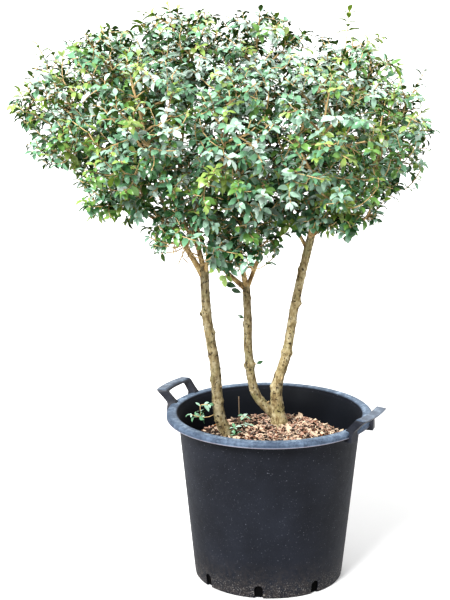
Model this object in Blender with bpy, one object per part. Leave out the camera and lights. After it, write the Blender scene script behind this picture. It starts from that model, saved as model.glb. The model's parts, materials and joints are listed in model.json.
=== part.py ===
"""Potted osmanthus: three stems with a wide, airy crown, standing in a large black nursery container.

Metres, +Z up. The origin is the centre of the container's underside. +X is to the right of the front
view and +Y points away from it. The leaves are larger and fewer than the real ones, so that they can be
solids.
"""

import math
from collections import namedtuple

import bmesh
import bpy
from mathutils import Quaternion, Vector
from mathutils.bvhtree import BVHTree

UP = Vector((0, 0, 1))
CLEAR = 0.0003  # gap between pieces that touch

# Container: a turned tub with a flat, turned-down lip and notches round its foot
POT_HEIGHT = 0.460
POT_FOOT_RADIUS = 0.201
POT_MOUTH_RADIUS = 0.248
POT_WALL = 0.004
POT_FLOOR = 0.006
POT_SIDES = 36
LIP_RADIUS = 0.278
LIP_DEPTH = 0.017
LIP_ROUND = 0.008
FOOT_ROUND = 0.005
NOTCHES = 8
NOTCH_WIDTH = 0.023
NOTCH_HEIGHT = 0.037
NOTCH_FIRST = math.radians(-97.3)
NOTCH_ARCH_STEPS = 4
NOTCH_INSIDE = 0.006  # how far inside the wall's foot its cutter starts
NOTCH_THROUGH = 0.030  # the cutter's length
NOTCH_BELOW = 0.010  # how far the cutter reaches under the floor

# Grips: a strap that follows the mouth, on two arms that lean outwards
GRIP_ANGLES = {"handle_left": math.radians(153.2), "handle_right": math.radians(-26.8)}
GRIP_RISE = 0.035
GRIP_LEAN = 0.033
GRIP_TILT = 0.12  # slope of the strap, down towards its outer edge
GRIP_HALF_WIDTH = 0.066
GRIP_FOOT_SPREAD = 0.010
GRIP_FOOT_DROP = 0.028
GRIP_STRAP = 0.026
GRIP_THICKNESS = 0.008
GRIP_ARM = 0.013
GRIP_CORNER = 0.006
GRIP_EASE = 0.002  # how far the arms' corners are eased
GRIP_WAIST = 0.015  # height at which the arms leave the flare of their feet
GRIP_FOOT_RADIUS = 0.274

SOIL_TOP = 0.392
SOIL_FLAT = 0.142  # radius of the level part round the stems
SOIL_EDGE = 0.352  # height beside the wall
SOIL_INSET = 0.001  # at the foot of the earth, beside the wall

# Wood: a stem's way runs from the soil to its fork, and radius is (below, above, extra at the foot)
Stem = namedtuple("Stem", "way radius")
STEMS = {
    "stem_left": Stem(
        [
            (-0.109, -0.034, SOIL_TOP + CLEAR),
            (-0.135, -0.038, 0.463),
            (-0.145, -0.045, 0.592),
            (-0.165, -0.053, 0.725),
            (-0.173, -0.060, 0.862),
        ],
        (0.0150, 0.0115, 0.003),
    ),
    "stem_right": Stem(
        [
            (0.029, 0.040, SOIL_TOP + CLEAR),
            (0.019, 0.032, 0.512),
            (0.046, 0.022, 0.619),
            (0.069, 0.013, 0.767),
            (0.112, 0.000, 0.965),
        ],
        (0.0140, 0.0105, 0.012),
    ),
    "stem_middle": Stem(
        [
            (0.014, 0.041, 0.432),
            (-0.040, 0.046, 0.499),
            (-0.058, 0.047, 0.611),
            (-0.060, 0.048, 0.700),
            (-0.065, 0.050, 0.800),
        ],
        (0.0135, 0.0100, 0.0),
    ),
}
FLARE_LENGTH = 0.065
MEETING = 3 * CLEAR  # limbs nearer than this are cut clear of each other
FINE_PARTS = 4  # of each leg, where limbs are searched for meetings
STEM_SIDES = 8
STEM_STEP = 0.055

# Each bough leaves its parent at a share of the parent's length, passes the points of its way, and ends
# where it enters the mass of foliage that it feeds
Bough = namedtuple("Bough", "parent share way mass radius")
BOUGHS = {
    "bough_left_outer": Bough(
        "stem_left",
        0.95,
        [
            (-0.216, -0.062, 0.914),
            (-0.257, -0.066, 0.974),
            (-0.341, -0.058, 1.045),
            (-0.400, -0.045, 1.100),
        ],
        "left_outer",
        0.0080,
    ),
    "bough_left_top": Bough(
        "stem_left", 0.985, [(-0.196, -0.045, 0.940), (-0.262, 0.000, 1.110)], "left_top", 0.0075
    ),
    "bough_left_inner": Bough(
        "stem_left", 0.96, [(-0.163, -0.082, 0.905), (-0.178, -0.100, 0.945)], "low_left", 0.0060
    ),
    "bough_left_low": Bough("bough_left_outer", 0.38, [(-0.312, -0.098, 1.012)], "left_low", 0.0055),
    "bough_left_back": Bough("bough_left_outer", 0.25, [(-0.290, 0.040, 1.030)], "left_back", 0.0060),
    "bough_left_front": Bough("bough_left_top", 0.18, [(-0.235, -0.130, 1.020)], "left_front", 0.0060),
    "bough_top_left": Bough("bough_left_top", 0.50, [(-0.232, 0.015, 1.200)], "top_left", 0.0055),
    "bough_centre_back": Bough(
        "stem_middle",
        0.96,
        [(-0.119, 0.055, 0.832), (-0.150, 0.085, 0.880), (-0.150, 0.150, 1.000)],
        "centre_back",
        0.0070,
    ),
    "bough_centre_top": Bough(
        "stem_middle",
        0.985,
        [(-0.081, 0.048, 0.870), (-0.080, 0.040, 0.940), (-0.062, 0.020, 1.100)],
        "centre_top",
        0.0070,
    ),
    "bough_centre_low": Bough("stem_middle", 0.97, [(-0.074, 0.010, 0.866)], "low_centre", 0.0060),
    "bough_centre_front": Bough(
        "stem_middle",
        0.955,
        [(-0.040, 0.045, 0.848), (-0.026, 0.022, 0.900), (-0.050, -0.090, 1.040)],
        "centre_front",
        0.0062,
    ),
    "bough_right_top": Bough(
        "stem_right", 0.985, [(0.118, 0.003, 1.050), (0.148, 0.012, 1.165)], "right_top", 0.0090
    ),
    "bough_right_outer": Bough(
        "stem_right", 0.965, [(0.172, -0.010, 0.995), (0.250, -0.015, 1.070)], "right_outer", 0.0080
    ),
    "bough_right_front": Bough("stem_right", 0.95, [(0.100, -0.085, 1.040)], "right_front", 0.0065),
    "bough_right_inner": Bough("stem_right", 0.89, [(0.068, 0.002, 0.960)], "centre_inner", 0.0050),
    "bough_right_back": Bough("bough_right_top", 0.22, [(0.138, 0.085, 1.065)], "right_back", 0.0065),
    "bough_right_low": Bough("bough_right_outer", 0.30, [(0.200, -0.055, 1.000)], "right_low", 0.0050),
}
BOUGH_TIP = 0.6  # a bough's end radius as a share of its radius at the parent
BOUGH_SIDES = 5
BOUGH_STEP = 0.06
BOUGH_ENTERS = 0.65  # the bough ends at this share of the mass's reach from its centre, or further in
ENTRY_STEPS = 50
ENTRY_FIRST = 8
ENTRY_ROOM = 0.01

# Foliage: each mass keeps to the points that are nearer to it than to any other, counted in its own
# reach. Shoots are long twigs that stand out of the mass, up to the crown's furthest points
Mass = namedtuple("Mass", "centre reach shoots")
MASSES = {
    "left_outer": Mass(
        (-0.480, -0.020, 1.272), (0.190, 0.230, 0.178), [(-0.655, -0.030, 1.300), (-0.603, 0.000, 1.436)]
    ),
    "left_low": Mass((-0.353, -0.080, 1.120), (0.165, 0.200, 0.140), [(-0.455, -0.110, 1.010)]),
    "left_top": Mass((-0.392, 0.000, 1.352), (0.190, 0.240, 0.140), [(-0.430, 0.020, 1.470)]),
    "left_back": Mass((-0.370, 0.240, 1.250), (0.220, 0.220, 0.215), [(-0.450, 0.440, 1.330)]),
    "left_front": Mass((-0.300, -0.240, 1.250), (0.205, 0.205, 0.200), [(-0.330, -0.440, 1.300)]),
    "top_left": Mass(
        (-0.220, 0.020, 1.400), (0.180, 0.240, 0.140), [(-0.268, 0.000, 1.544), (-0.325, 0.010, 1.522)]
    ),
    "centre_top": Mass((-0.050, 0.000, 1.378), (0.195, 0.240, 0.160), [(-0.010, 0.010, 1.524), (-0.115, 0.005, 1.512), (0.048, 0.015, 1.498)]),
    "centre_front": Mass((-0.095, -0.240, 1.225), (0.200, 0.205, 0.210), [(-0.080, -0.440, 1.290)]),
    "centre_back": Mass((-0.120, 0.250, 1.250), (0.220, 0.215, 0.220), [(-0.100, 0.450, 1.330)]),
    "centre_inner": Mass((0.030, -0.060, 1.110), (0.165, 0.180, 0.150), []),
    "low_left": Mass((-0.195, -0.115, 1.045), (0.150, 0.200, 0.170), [(-0.235, -0.160, 0.895)]),
    "low_centre": Mass((-0.096, -0.075, 1.000), (0.145, 0.190, 0.160), [(-0.115, -0.110, 0.850)]),
    "right_top": Mass(
        (0.170, 0.020, 1.310), (0.190, 0.230, 0.160), [(0.198, 0.020, 1.524), (0.288, 0.010, 1.462)]
    ),
    "right_outer": Mass(
        (0.275, -0.010, 1.220), (0.142, 0.225, 0.180), [(0.416, -0.020, 1.225), (0.395, 0.000, 1.378)]
    ),
    "right_low": Mass((0.152, -0.090, 1.085), (0.155, 0.190, 0.130), [(0.275, -0.100, 1.002)]),
    "right_front": Mass((0.110, -0.230, 1.230), (0.205, 0.205, 0.205), [(0.150, -0.430, 1.310)]),
    "right_back": Mass((0.150, 0.220, 1.210), (0.215, 0.215, 0.210), [(0.190, 0.420, 1.290)]),
}
SPACE_MARGIN = 0.040  # in shares of a mass's reach, half of it on each side of the border
SHOOT_ROOM = 0.070
TWIGS = 8
TWIG_TRIES = 30  # ends tried for each twig
TWIG_DEEPEST = 0.30
TURN_COST = 0.55
PATH_COST = 0.30
TWIG_BENDS = (0.42, 0.1)
JOINT_STEP = 0.080
STALK_RADIUS = (0.0042, 0.0026)
TWIG_RADIUS = (0.0030, 0.0017)
TWIG_PROBES = 5  # places on each leg that have to be free
TWIG_SUNK = 0.0015  # how far a twig's foot starts back inside the wood that it leaves
LIMB_GAP = 0.004
OWN_BOUGH_FREE = 0.03

LEAF_LENGTH = 0.098
LEAF_WIDTH = 0.048
LEAF_KEEL = 0.0070  # depth of the blade under its two edges, where it is widest
LEAF_WIDEST = 0.5
LEAF_FACES = [(0, 2, 1), (0, 1, 3), (0, 3, 2), (1, 2, 3)]
LEAF_MIDDLE = 0.6  # where two leaves' distance is taken, in leaf lengths
LEAF_PROBES = 6  # places along a leaf that have to be in its mass's space
LEAF_SUNK = 0.0005
LEAF_SPREAD = math.radians(62)
LEAF_FACING_UP = 0.4
LEAF_SPACING = 0.050
LEAF_PAIRS = 3
LEAF_FROM_TIP = 0.005
LEAF_BARE = 0.25  # share of a twig next to its foot that bears no leaves
UPRIGHT = 0.2  # a twig whose way has less than this across the vertical counts as upright
LEAF_STAGGER = 0.0009  # how far the two leaves of a pair stand before and behind its middle
LEAF_ROOM = 0.022
LEAF_SIZES = (1.0, 0.8, 0.62)  # a leaf that finds no room is tried again smaller
LEAF_LIMIT = 1.1  # how far out of a mass's reach its leaves may stand
LEAF_PAST_TWIG = 0.75  # how far the leaves reach past a twig's end, in leaf lengths

# Shoot from the foot of the left stem, low over the soil
SHOOT_ROOT = Vector((-0.1450, -0.0420, 0.4600))
SHOOT_ENDS = [(-0.208, -0.066, 0.467), (-0.185, -0.052, 0.488), (-0.160, -0.060, 0.493)]
SHOOT_RADIUS = (0.0020, 0.0014)
SHOOT_SUNK = 0.003  # before its foot is cut off at the stem's surface
SHOOT_LEAF_SCALE = 0.30

Colour = namedtuple("Colour", "base roughness")
LOOKS = {
    "pot": Colour((0.018, 0.020, 0.026), 0.55),
    "handle": Colour((0.022, 0.025, 0.033), 0.50),
    "soil": Colour((0.060, 0.038, 0.026), 0.95),
    "stem": Colour((0.420, 0.320, 0.170), 0.85),
    "bough": Colour((0.250, 0.150, 0.075), 0.85),
    "leaf": Colour((0.080, 0.200, 0.090), 0.45),
}


def clear_scene():
    for thing in list(bpy.data.objects):
        bpy.data.objects.remove(thing, do_unlink=True)


def material(look):
    made = bpy.data.materials.get(look)
    if made:
        return made
    made = bpy.data.materials.new(look)
    made.use_nodes = True
    shader = made.node_tree.nodes["Principled BSDF"]
    shader.inputs["Base Color"].default_value = (*LOOKS[look].base, 1.0)
    shader.inputs["Roughness"].default_value = LOOKS[look].roughness
    return made


def object_from(bm, name, look, collection=None):
    """The bmesh as a new object, with its faces turned outwards."""
    bmesh.ops.recalc_face_normals(bm, faces=bm.faces)
    mesh = bpy.data.meshes.new(name)
    bm.to_mesh(mesh)
    bm.free()
    mesh.materials.append(material(look))
    made = bpy.data.objects.new(name, mesh)
    (collection or bpy.context.scene.collection).objects.link(made)
    return made


def keep_one_body(mesh):
    """Leaves the widest of the mesh's separate surfaces, so a sealed hollow is filled and a scrap goes."""
    bm = bmesh.new()
    bm.from_mesh(mesh)
    left = set(bm.faces)
    bodies = []
    while left:
        body = set()
        edge_of = [left.pop()]
        while edge_of:
            face = edge_of.pop()
            body.add(face)
            near = {other for edge in face.edges for other in edge.link_faces} & left
            left -= near
            edge_of.extend(near)
        bodies.append(body)
    bodies.sort(key=lambda body: sum(face.calc_area() for face in body))
    spare = [face for body in bodies[:-1] for face in body]
    if spare:
        bmesh.ops.delete(bm, geom=spare, context="FACES")
        bm.to_mesh(mesh)
    bm.free()


def is_closed(mesh):
    bm = bmesh.new()
    bm.from_mesh(mesh)
    closed = bool(bm.faces) and all(edge.is_manifold for edge in bm.edges)
    bm.free()
    return closed


def combine(base, others, operation):
    """Applies one Boolean of base with a collection of all the others, which are then removed."""
    group = bpy.data.collections.new("joined")
    for other in others:
        for home in list(other.users_collection):
            home.objects.unlink(other)
        group.objects.link(other)
    bpy.context.scene.collection.children.link(group)
    step = base.modifiers.new("combine", "BOOLEAN")
    step.operation = operation
    step.operand_type = "COLLECTION"
    step.collection = group
    for solver in ("EXACT", "MANIFOLD"):
        step.solver = solver
        bpy.context.view_layer.update()
        evaluated = base.evaluated_get(bpy.context.evaluated_depsgraph_get())
        result = bpy.data.meshes.new_from_object(evaluated)
        if is_closed(result):
            break
    base.modifiers.clear()
    look = base.data.materials[0]
    base.data = result
    base.data.materials.clear()
    base.data.materials.append(look)
    keep_one_body(base.data)
    for other in others:
        bpy.data.objects.remove(other, do_unlink=True)
    bpy.data.collections.remove(group)
    return base


def shade(thing, angle=40):
    thing.data.shade_smooth()
    thing.data.set_sharp_from_angle(angle=math.radians(angle))


def turned(profile, name, look, sides=POT_SIDES):
    """A solid of revolution from (radius, height) points that start and end on the axis."""
    bm = bmesh.new()
    rings = []
    for radius, height in profile:
        if radius == 0:
            rings.append([bm.verts.new((0, 0, height))])
            continue
        turns = [2 * math.pi * side / sides for side in range(sides)]
        rings.append([bm.verts.new((radius * math.cos(t), radius * math.sin(t), height)) for t in turns])
    for lower, upper in zip(rings, rings[1:]):
        for side in range(sides):
            after = (side + 1) % sides
            if len(lower) == 1:
                bm.faces.new((lower[0], upper[side], upper[after]))
            elif len(upper) == 1:
                bm.faces.new((lower[side], upper[0], lower[after]))
            else:
                bm.faces.new((lower[side], upper[side], upper[after], lower[after]))
    return object_from(bm, name, look)


def wall_radius(height):
    """The container's outer radius under its lip."""
    return POT_FOOT_RADIUS + (POT_MOUTH_RADIUS - POT_FOOT_RADIUS) * height / POT_HEIGHT


def pot_profile(extra=0.0):
    """From the axis under the floor, up the outside, over the lip and down the inside, grown by extra."""
    lip_foot = POT_HEIGHT - LIP_DEPTH
    return [
        (0, -extra),
        (POT_FOOT_RADIUS - FOOT_ROUND + extra, -extra),
        (POT_FOOT_RADIUS + extra, FOOT_ROUND),
        (wall_radius(lip_foot) + extra, lip_foot - extra),
        (LIP_RADIUS - LIP_ROUND / 2, lip_foot - extra),
        (LIP_RADIUS + extra, lip_foot + LIP_ROUND / 2),
        (LIP_RADIUS + extra, POT_HEIGHT - LIP_ROUND),
        (LIP_RADIUS - LIP_ROUND / 3 + extra, POT_HEIGHT - LIP_ROUND / 3 + extra),
        (LIP_RADIUS - LIP_ROUND, POT_HEIGHT + extra),
        (POT_MOUTH_RADIUS + LIP_ROUND, POT_HEIGHT + extra),
        (POT_MOUTH_RADIUS - extra, POT_HEIGHT - LIP_ROUND),
        (wall_radius(POT_FLOOR) - POT_WALL - extra, POT_FLOOR + extra),
        (0, POT_FLOOR + extra),
    ]


def notch_cutter(angle, name):
    """An arch-topped block that stands across the wall's foot."""
    half = NOTCH_WIDTH / 2
    straight = NOTCH_HEIGHT - half
    outline = [(-half, -NOTCH_BELOW), (half, -NOTCH_BELOW)]
    for step in range(NOTCH_ARCH_STEPS + 1):
        turn = math.pi * step / NOTCH_ARCH_STEPS
        outline.append((half * math.cos(turn), straight + half * math.sin(turn)))
    bm = bmesh.new()
    out = Vector((math.cos(angle), math.sin(angle), 0))
    along = Vector((-math.sin(angle), math.cos(angle), 0))
    near = POT_FOOT_RADIUS - POT_WALL - NOTCH_INSIDE
    loops = [
        [bm.verts.new(out * radius + along * across + UP * height) for across, height in outline]
        for radius in (near, near + NOTCH_THROUGH)
    ]
    for side in range(len(outline)):
        after = (side + 1) % len(outline)
        bm.faces.new((loops[0][side], loops[0][after], loops[1][after], loops[1][side]))
    bm.faces.new(loops[0])
    bm.faces.new(loops[1][::-1])
    return object_from(bm, name, "pot")


def make_pot():
    pot = turned(pot_profile(), "pot", "pot")
    turns = [NOTCH_FIRST + 2 * math.pi * notch / NOTCHES for notch in range(NOTCHES)]
    cutters = [notch_cutter(turn, f"notch_{index}") for index, turn in enumerate(turns)]
    shade(combine(pot, cutters, "DIFFERENCE"))


def make_soil():
    floor = POT_FLOOR + CLEAR
    inside = POT_WALL + CLEAR
    profile = [
        (0, floor),
        (wall_radius(floor) - inside - SOIL_INSET, floor),
        (wall_radius(SOIL_EDGE) - inside, SOIL_EDGE),
        (SOIL_FLAT, SOIL_TOP),
        (0, SOIL_TOP),
    ]
    shade(turned(profile, "soil", "soil"))


def grip_stations():
    """(outer point, inner point) pairs along the strap, each (sideways, height), from foot to foot."""
    side = GRIP_HALF_WIDTH
    inner_side = side - GRIP_ARM
    top = GRIP_RISE
    under = top - GRIP_THICKNESS
    foot_out = side + GRIP_FOOT_SPREAD
    foot_in = inner_side - GRIP_FOOT_SPREAD / 2
    half = [
        ((foot_out, -GRIP_FOOT_DROP), (foot_in, -GRIP_FOOT_DROP)),
        ((foot_out - GRIP_EASE, -GRIP_FOOT_DROP / 2), (foot_in, -GRIP_FOOT_DROP / 2)),
        ((side + GRIP_EASE, GRIP_EASE), (foot_in + GRIP_EASE, 0.0)),
        ((side, GRIP_WAIST), (inner_side, GRIP_WAIST - GRIP_EASE)),
        ((side, top - GRIP_CORNER), (inner_side, under - GRIP_CORNER / 3)),
        ((side - GRIP_CORNER / 3, top - GRIP_CORNER / 3), (inner_side - GRIP_EASE, under - GRIP_EASE / 2)),
        ((side - GRIP_CORNER, top), (inner_side - GRIP_CORNER / 2, under)),
        ((side / 2, top), (side / 2, under)),
    ]
    middle = [((0.0, top), (0.0, under))]
    other = [((-out[0], out[1]), (-inner[0], inner[1])) for out, inner in reversed(half)]
    return half + middle + other


def make_grip(name, angle):
    """A strap of even breadth, bent round the mouth and leaning outwards, cut clear of the lip."""
    bm = bmesh.new()

    def placed(sideways, height, across):
        share = max(0.0, height) / GRIP_RISE
        radius = GRIP_FOOT_RADIUS + GRIP_LEAN * share + across
        turn = angle + sideways / LIP_RADIUS
        top = POT_HEIGHT + height - GRIP_TILT * across * share
        return bm.verts.new((radius * math.cos(turn), radius * math.sin(turn), top))

    half = GRIP_STRAP / 2
    rings = []
    for out, inner in grip_stations():
        corners = ((out, -half), (out, half), (inner, half), (inner, -half))
        rings.append([placed(*end, across) for end, across in corners])
    for first, second in zip(rings, rings[1:]):
        for side in range(4):
            after = (side + 1) % 4
            bm.faces.new((first[side], first[after], second[after], second[side]))
    bm.faces.new(rings[0])
    bm.faces.new(rings[-1][::-1])
    grip = object_from(bm, name, "handle")
    lip = turned(pot_profile(CLEAR), "lip_cutter", "pot")
    shade(combine(grip, [lip], "DIFFERENCE"), 30)


def smooth_way(way, step):
    """Points about a step apart on a smooth curve through the way's points."""
    way = [Vector(point) for point in way]
    ends = [2 * way[0] - way[1], *way, 2 * way[-1] - way[-2]]
    points = [way[0]]
    for before, a, b, after in zip(ends, ends[1:], ends[2:], ends[3:]):
        count = max(1, round((b - a).length / step))
        for index in range(1, count + 1):
            t = index / count
            points.append(
                0.5 * (2 * a + (b - before) * t + (2 * before - 5 * a + 4 * b - after) * t**2
                       + (3 * a - before - 3 * b + after) * t**3)
            )
    return points


def run_lengths(points):
    lengths = [0.0]
    for a, b in zip(points, points[1:]):
        lengths.append(lengths[-1] + (b - a).length)
    return lengths


def tube_mesh(points, radii, sides, foot_way=None):
    """A tapering limb with flat ends. Its rings don't twist, and its foot is square to foot_way."""
    ways = [(b - a).normalized() for a, b in zip(points, points[1:])]
    ways = [ways[0], *[(a + b).normalized() for a, b in zip(ways, ways[1:])], ways[-1]]
    if foot_way:
        ways[0] = foot_way
    across = ways[0].orthogonal().normalized()
    bm = bmesh.new()
    rings = []
    for index, (point, way, radius) in enumerate(zip(points, ways, radii)):
        if index:
            across = ways[index - 1].rotation_difference(way) @ across
        ring = []
        for side in range(sides):
            spoke = Quaternion(way, 2 * math.pi * side / sides) @ across
            ring.append(bm.verts.new(point + spoke * radius))
        rings.append(ring)
    for first, second in zip(rings, rings[1:]):
        for side in range(sides):
            after = (side + 1) % sides
            bm.faces.new((first[side], first[after], second[after], second[side]))
    bm.faces.new(rings[0][::-1])
    bm.faces.new(rings[-1])
    return bm


def tube(points, radii, sides, name, look, foot_way=None, collection=None):
    return object_from(tube_mesh(points, radii, sides, foot_way), name, look, collection)


Limb = namedtuple("Limb", "points radii sides foot_way")


def grown_copy(limb, name):
    """The limb grown by the clearance, to cut its neighbours with."""
    points = [point.copy() for point in limb.points]
    points[0] -= (points[1] - points[0]).normalized() * CLEAR
    points[-1] += (points[-1] - points[-2]).normalized() * CLEAR
    radii = [radius + CLEAR for radius in limb.radii]
    return tube(points, radii, limb.sides, name, "bough", limb.foot_way)


def surface_round(limb):
    """The limb's surface, grown by half the gap that leaves keep to it."""
    radii = [radius + LIMB_GAP / 2 for radius in limb.radii]
    bm = tube_mesh(limb.points, radii, limb.sides, limb.foot_way)
    tree = BVHTree.FromBMesh(bm)
    bm.free()
    return tree


def gap_to(limb, point):
    """How far the point is outside the limb's surface."""
    best = math.inf
    for index in range(len(limb.points) - 1):
        a, b = limb.points[index], limb.points[index + 1]
        leg = b - a
        t = min(1.0, max(0.0, (point - a).dot(leg) / leg.length_squared))
        radius = limb.radii[index] + (limb.radii[index + 1] - limb.radii[index]) * t
        best = min(best, (point - a - leg * t).length - radius)
    return best


def stem_limb(stem):
    points = smooth_way(stem.way, STEM_STEP)
    lengths = run_lengths(points)
    below, above, flare = stem.radius
    radii = [
        below + (above - below) * length / lengths[-1] + flare * math.exp(-length / FLARE_LENGTH)
        for length in lengths
    ]
    return Limb(points, radii, STEM_SIDES, UP if flare else None)


def point_along(limb, share):
    lengths = run_lengths(limb.points)
    wanted = share * lengths[-1]
    for index in range(1, len(lengths)):
        if lengths[index] >= wanted:
            t = (wanted - lengths[index - 1]) / (lengths[index] - lengths[index - 1])
            return limb.points[index - 1].lerp(limb.points[index], t)
    return limb.points[-1].copy()


def reach_share(name, point):
    """0 at the mass's centre, 1 at its reach."""
    mass = MASSES[name]
    return Vector([(p - c) / r for p, c, r in zip(point, mass.centre, mass.reach)]).length


def entry_point(bough):
    """Where a line from the last point of the bough's way to the mass's centre is well into the mass."""
    last = Vector(bough.way[-1])
    centre = Vector(MASSES[bough.mass].centre)
    for step in range(ENTRY_FIRST, ENTRY_STEPS):
        point = last.lerp(centre, step / ENTRY_STEPS)
        inside = in_space(bough.mass, point + UP * ENTRY_ROOM)
        if inside and reach_share(bough.mass, point) < BOUGH_ENTERS:
            return point
    return centre


def bough_limb(bough, parent):
    start = point_along(parent, bough.share)
    points = smooth_way([start, *bough.way, entry_point(bough)], BOUGH_STEP)
    lengths = run_lengths(points)
    radii = [bough.radius * (1 - (1 - BOUGH_TIP) * length / lengths[-1]) for length in lengths]
    return Limb(points, radii, BOUGH_SIDES, None)


def make_limbs():
    """Every stem and bough, each cut clear of those made before it that it meets."""
    limbs = {name: stem_limb(stem) for name, stem in STEMS.items()}
    for name, bough in BOUGHS.items():
        limbs[name] = bough_limb(bough, limbs[bough.parent])
    for index, (name, limb) in enumerate(limbs.items()):
        look = "stem" if name in STEMS else "bough"
        made = tube(limb.points, limb.radii, limb.sides, name, look, limb.foot_way)
        cutters = []
        for other_name in list(limbs)[:index]:
            other = limbs[other_name]
            if min(gap_to(other, p) - r for p, r in zip(*fine(limb))) < MEETING:
                cutters.append(grown_copy(other, f"cut_{other_name}"))
        if cutters:
            combine(made, cutters, "DIFFERENCE")
        shade(made, 60)
    return limbs


def fine(limb):
    """The limb's centre line and radii at FINE_PARTS times as many points."""
    points, radii = [], []
    for index in range(len(limb.points) - 1):
        for part in range(FINE_PARTS):
            t = part / FINE_PARTS
            points.append(limb.points[index].lerp(limb.points[index + 1], t))
            radii.append(limb.radii[index] + (limb.radii[index + 1] - limb.radii[index]) * t)
    return points + [limb.points[-1]], radii + [limb.radii[-1]]


def even_share(index, base):
    """The van der Corput sequence: shares of 1 that stay evenly spread however many are taken."""
    total, part = 0.0, 1.0
    while index:
        part /= base
        total += part * (index % base)
        index //= base
    return total


def in_space(name, point, limit=1.0):
    """Whether the point is nearer to this mass than to the others, and in its reach or beside a shoot."""
    own = reach_share(name, point)
    if any(reach_share(other, point) < own + SPACE_MARGIN for other in MASSES if other != name):
        return False
    if own <= limit:
        return True
    centre = Vector(MASSES[name].centre)
    for shoot in MASSES[name].shoots:
        leg = Vector(shoot) - centre
        t = min(1.0, max(0.0, (point - centre).dot(leg) / leg.length_squared))
        if (point - centre - leg * t).length < SHOOT_ROOM:
            return True
    return False


def twig_ends(name, tries):
    """The mass's shoots, then points spread evenly through its space, for the twigs to try in turn."""
    mass = MASSES[name]
    centre = Vector(mass.centre)
    leaf = LEAF_LENGTH * LEAF_PAST_TWIG
    ends = [tip - (tip - centre).normalized() * leaf for tip in map(Vector, mass.shoots)]
    furthest = 1 - leaf / (sum(mass.reach) / 3)
    for index in range(1, tries + 1):
        height = 2 * even_share(index, 2) - 1
        turn = 2 * math.pi * even_share(index, 3)
        out = TWIG_DEEPEST + (furthest - TWIG_DEEPEST) * even_share(index, 5) ** 0.5
        level = math.sqrt(1 - height * height)
        way = (level * math.cos(turn), level * math.sin(turn), height)
        point = Vector([c + r * w * out for c, r, w in zip(mass.centre, mass.reach, way)])
        if in_space(name, point):
            ends.append(point)
    return ends


def bent(place, way, end, bend):
    """Joints on a curve that sets off along way and turns towards its end."""
    length = (end - place).length
    corner = place + way * length * bend
    count = max(2, round(length / JOINT_STEP))
    shares = [step / count for step in range(count + 1)]
    return [place * (1 - t) ** 2 + corner * 2 * t * (1 - t) + end * t * t for t in shares]


def grow(start, heading, ends, allowed, most):
    """At most so many twigs, that reach each end in turn. Each leaves the grown wood that costs least to
    reach it from, sets off along that wood's own direction and bends towards its end."""
    joints = [(start, heading, 0.0)]
    twigs = []
    for end in ends:
        def cost(joint):
            place, way, path = joint
            leg = end - place
            turn = 1 - leg.normalized().dot(way)
            return leg.length * (1 + TURN_COST * turn) + PATH_COST * path

        place, way, path = min(joints[1:] or joints, key=cost)
        points = next(filter(allowed, (bent(place, way, end, bend) for bend in TWIG_BENDS)), None)
        if not points:
            continue
        twigs.append(points)
        if len(twigs) == most:
            break
        for a, b in zip(points, points[1:]):
            path += (b - a).length
            joints.append((b, (b - a).normalized(), path))
    return twigs


def leaf_seats(points):
    """(root, leaf direction, upper side) of opposite pairs, each pair a quarter turn from the next."""
    lengths = run_lengths(points)
    seats = []
    for pair in range(LEAF_PAIRS):
        wanted = lengths[-1] - LEAF_SPACING * pair - LEAF_FROM_TIP
        if wanted < lengths[-1] * LEAF_BARE:
            break
        index = max(i for i, length in enumerate(lengths[:-1]) if length <= wanted)
        leg = points[index + 1] - points[index]
        root = points[index] + leg.normalized() * (wanted - lengths[index])
        way = leg.normalized()
        level = way.cross(UP)
        level = level.normalized() if level.length > UPRIGHT else Vector((1, 0, 0))
        side = level if pair % 2 == 0 else level.cross(way).normalized()
        for hand in (1, -1):
            leaf = way * math.cos(LEAF_SPREAD) + side * hand * math.sin(LEAF_SPREAD)
            face = way - leaf * way.dot(leaf) + UP * LEAF_FACING_UP
            face = (face - leaf * face.dot(leaf)).normalized()
            seats.append((root + way * hand * LEAF_STAGGER, leaf, face))
        if pair == 0:
            face = level.cross(way).normalized()
            seats.append((points[-1] - way * LEAF_STAGGER, way, face if face.z > 0 else -face))
    return seats


def leaf_corners(root, way, face, scale=1.0):
    """Root, tip and two raised sides, the corners of a four-faced blade folded along its midrib."""
    across = way.cross(face).normalized() * LEAF_WIDTH / 2 * scale
    middle = root + (way * LEAF_LENGTH * LEAF_WIDEST + face * LEAF_KEEL) * scale
    return [root - way * LEAF_SUNK, root + way * LEAF_LENGTH * scale, middle + across, middle - across]


def leaf_object(corners, name, collection):
    bm = bmesh.new()
    points = [bm.verts.new(corner) for corner in corners]
    for face in LEAF_FACES:
        bm.faces.new([points[index] for index in face])
    return object_from(bm, name, "leaf", collection)


def surface_of(thing):
    mesh = thing.data
    return BVHTree.FromPolygons([v.co for v in mesh.vertices], [face.vertices for face in mesh.polygons])


def along(points, parts):
    """Each leg's end and the places that part it evenly, without the first point."""
    return [a.lerp(b, (part + 1) / parts) for a, b in zip(points, points[1:]) for part in range(parts)]


def twig_object(points, radius, name, group, foot_way=None):
    """A three-sided tapering twig. Without a foot_way, its foot is sunk in the wood that it leaves."""
    foot = points[0] if foot_way else points[0] - (points[1] - points[0]).normalized() * TWIG_SUNK
    thick, thin = radius
    radii = [thick + (thin - thick) * index / (len(points) - 1) for index in range(len(points))]
    return tube([foot, *points[1:]], radii, 3, name, "bough", foot_way, group)


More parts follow.
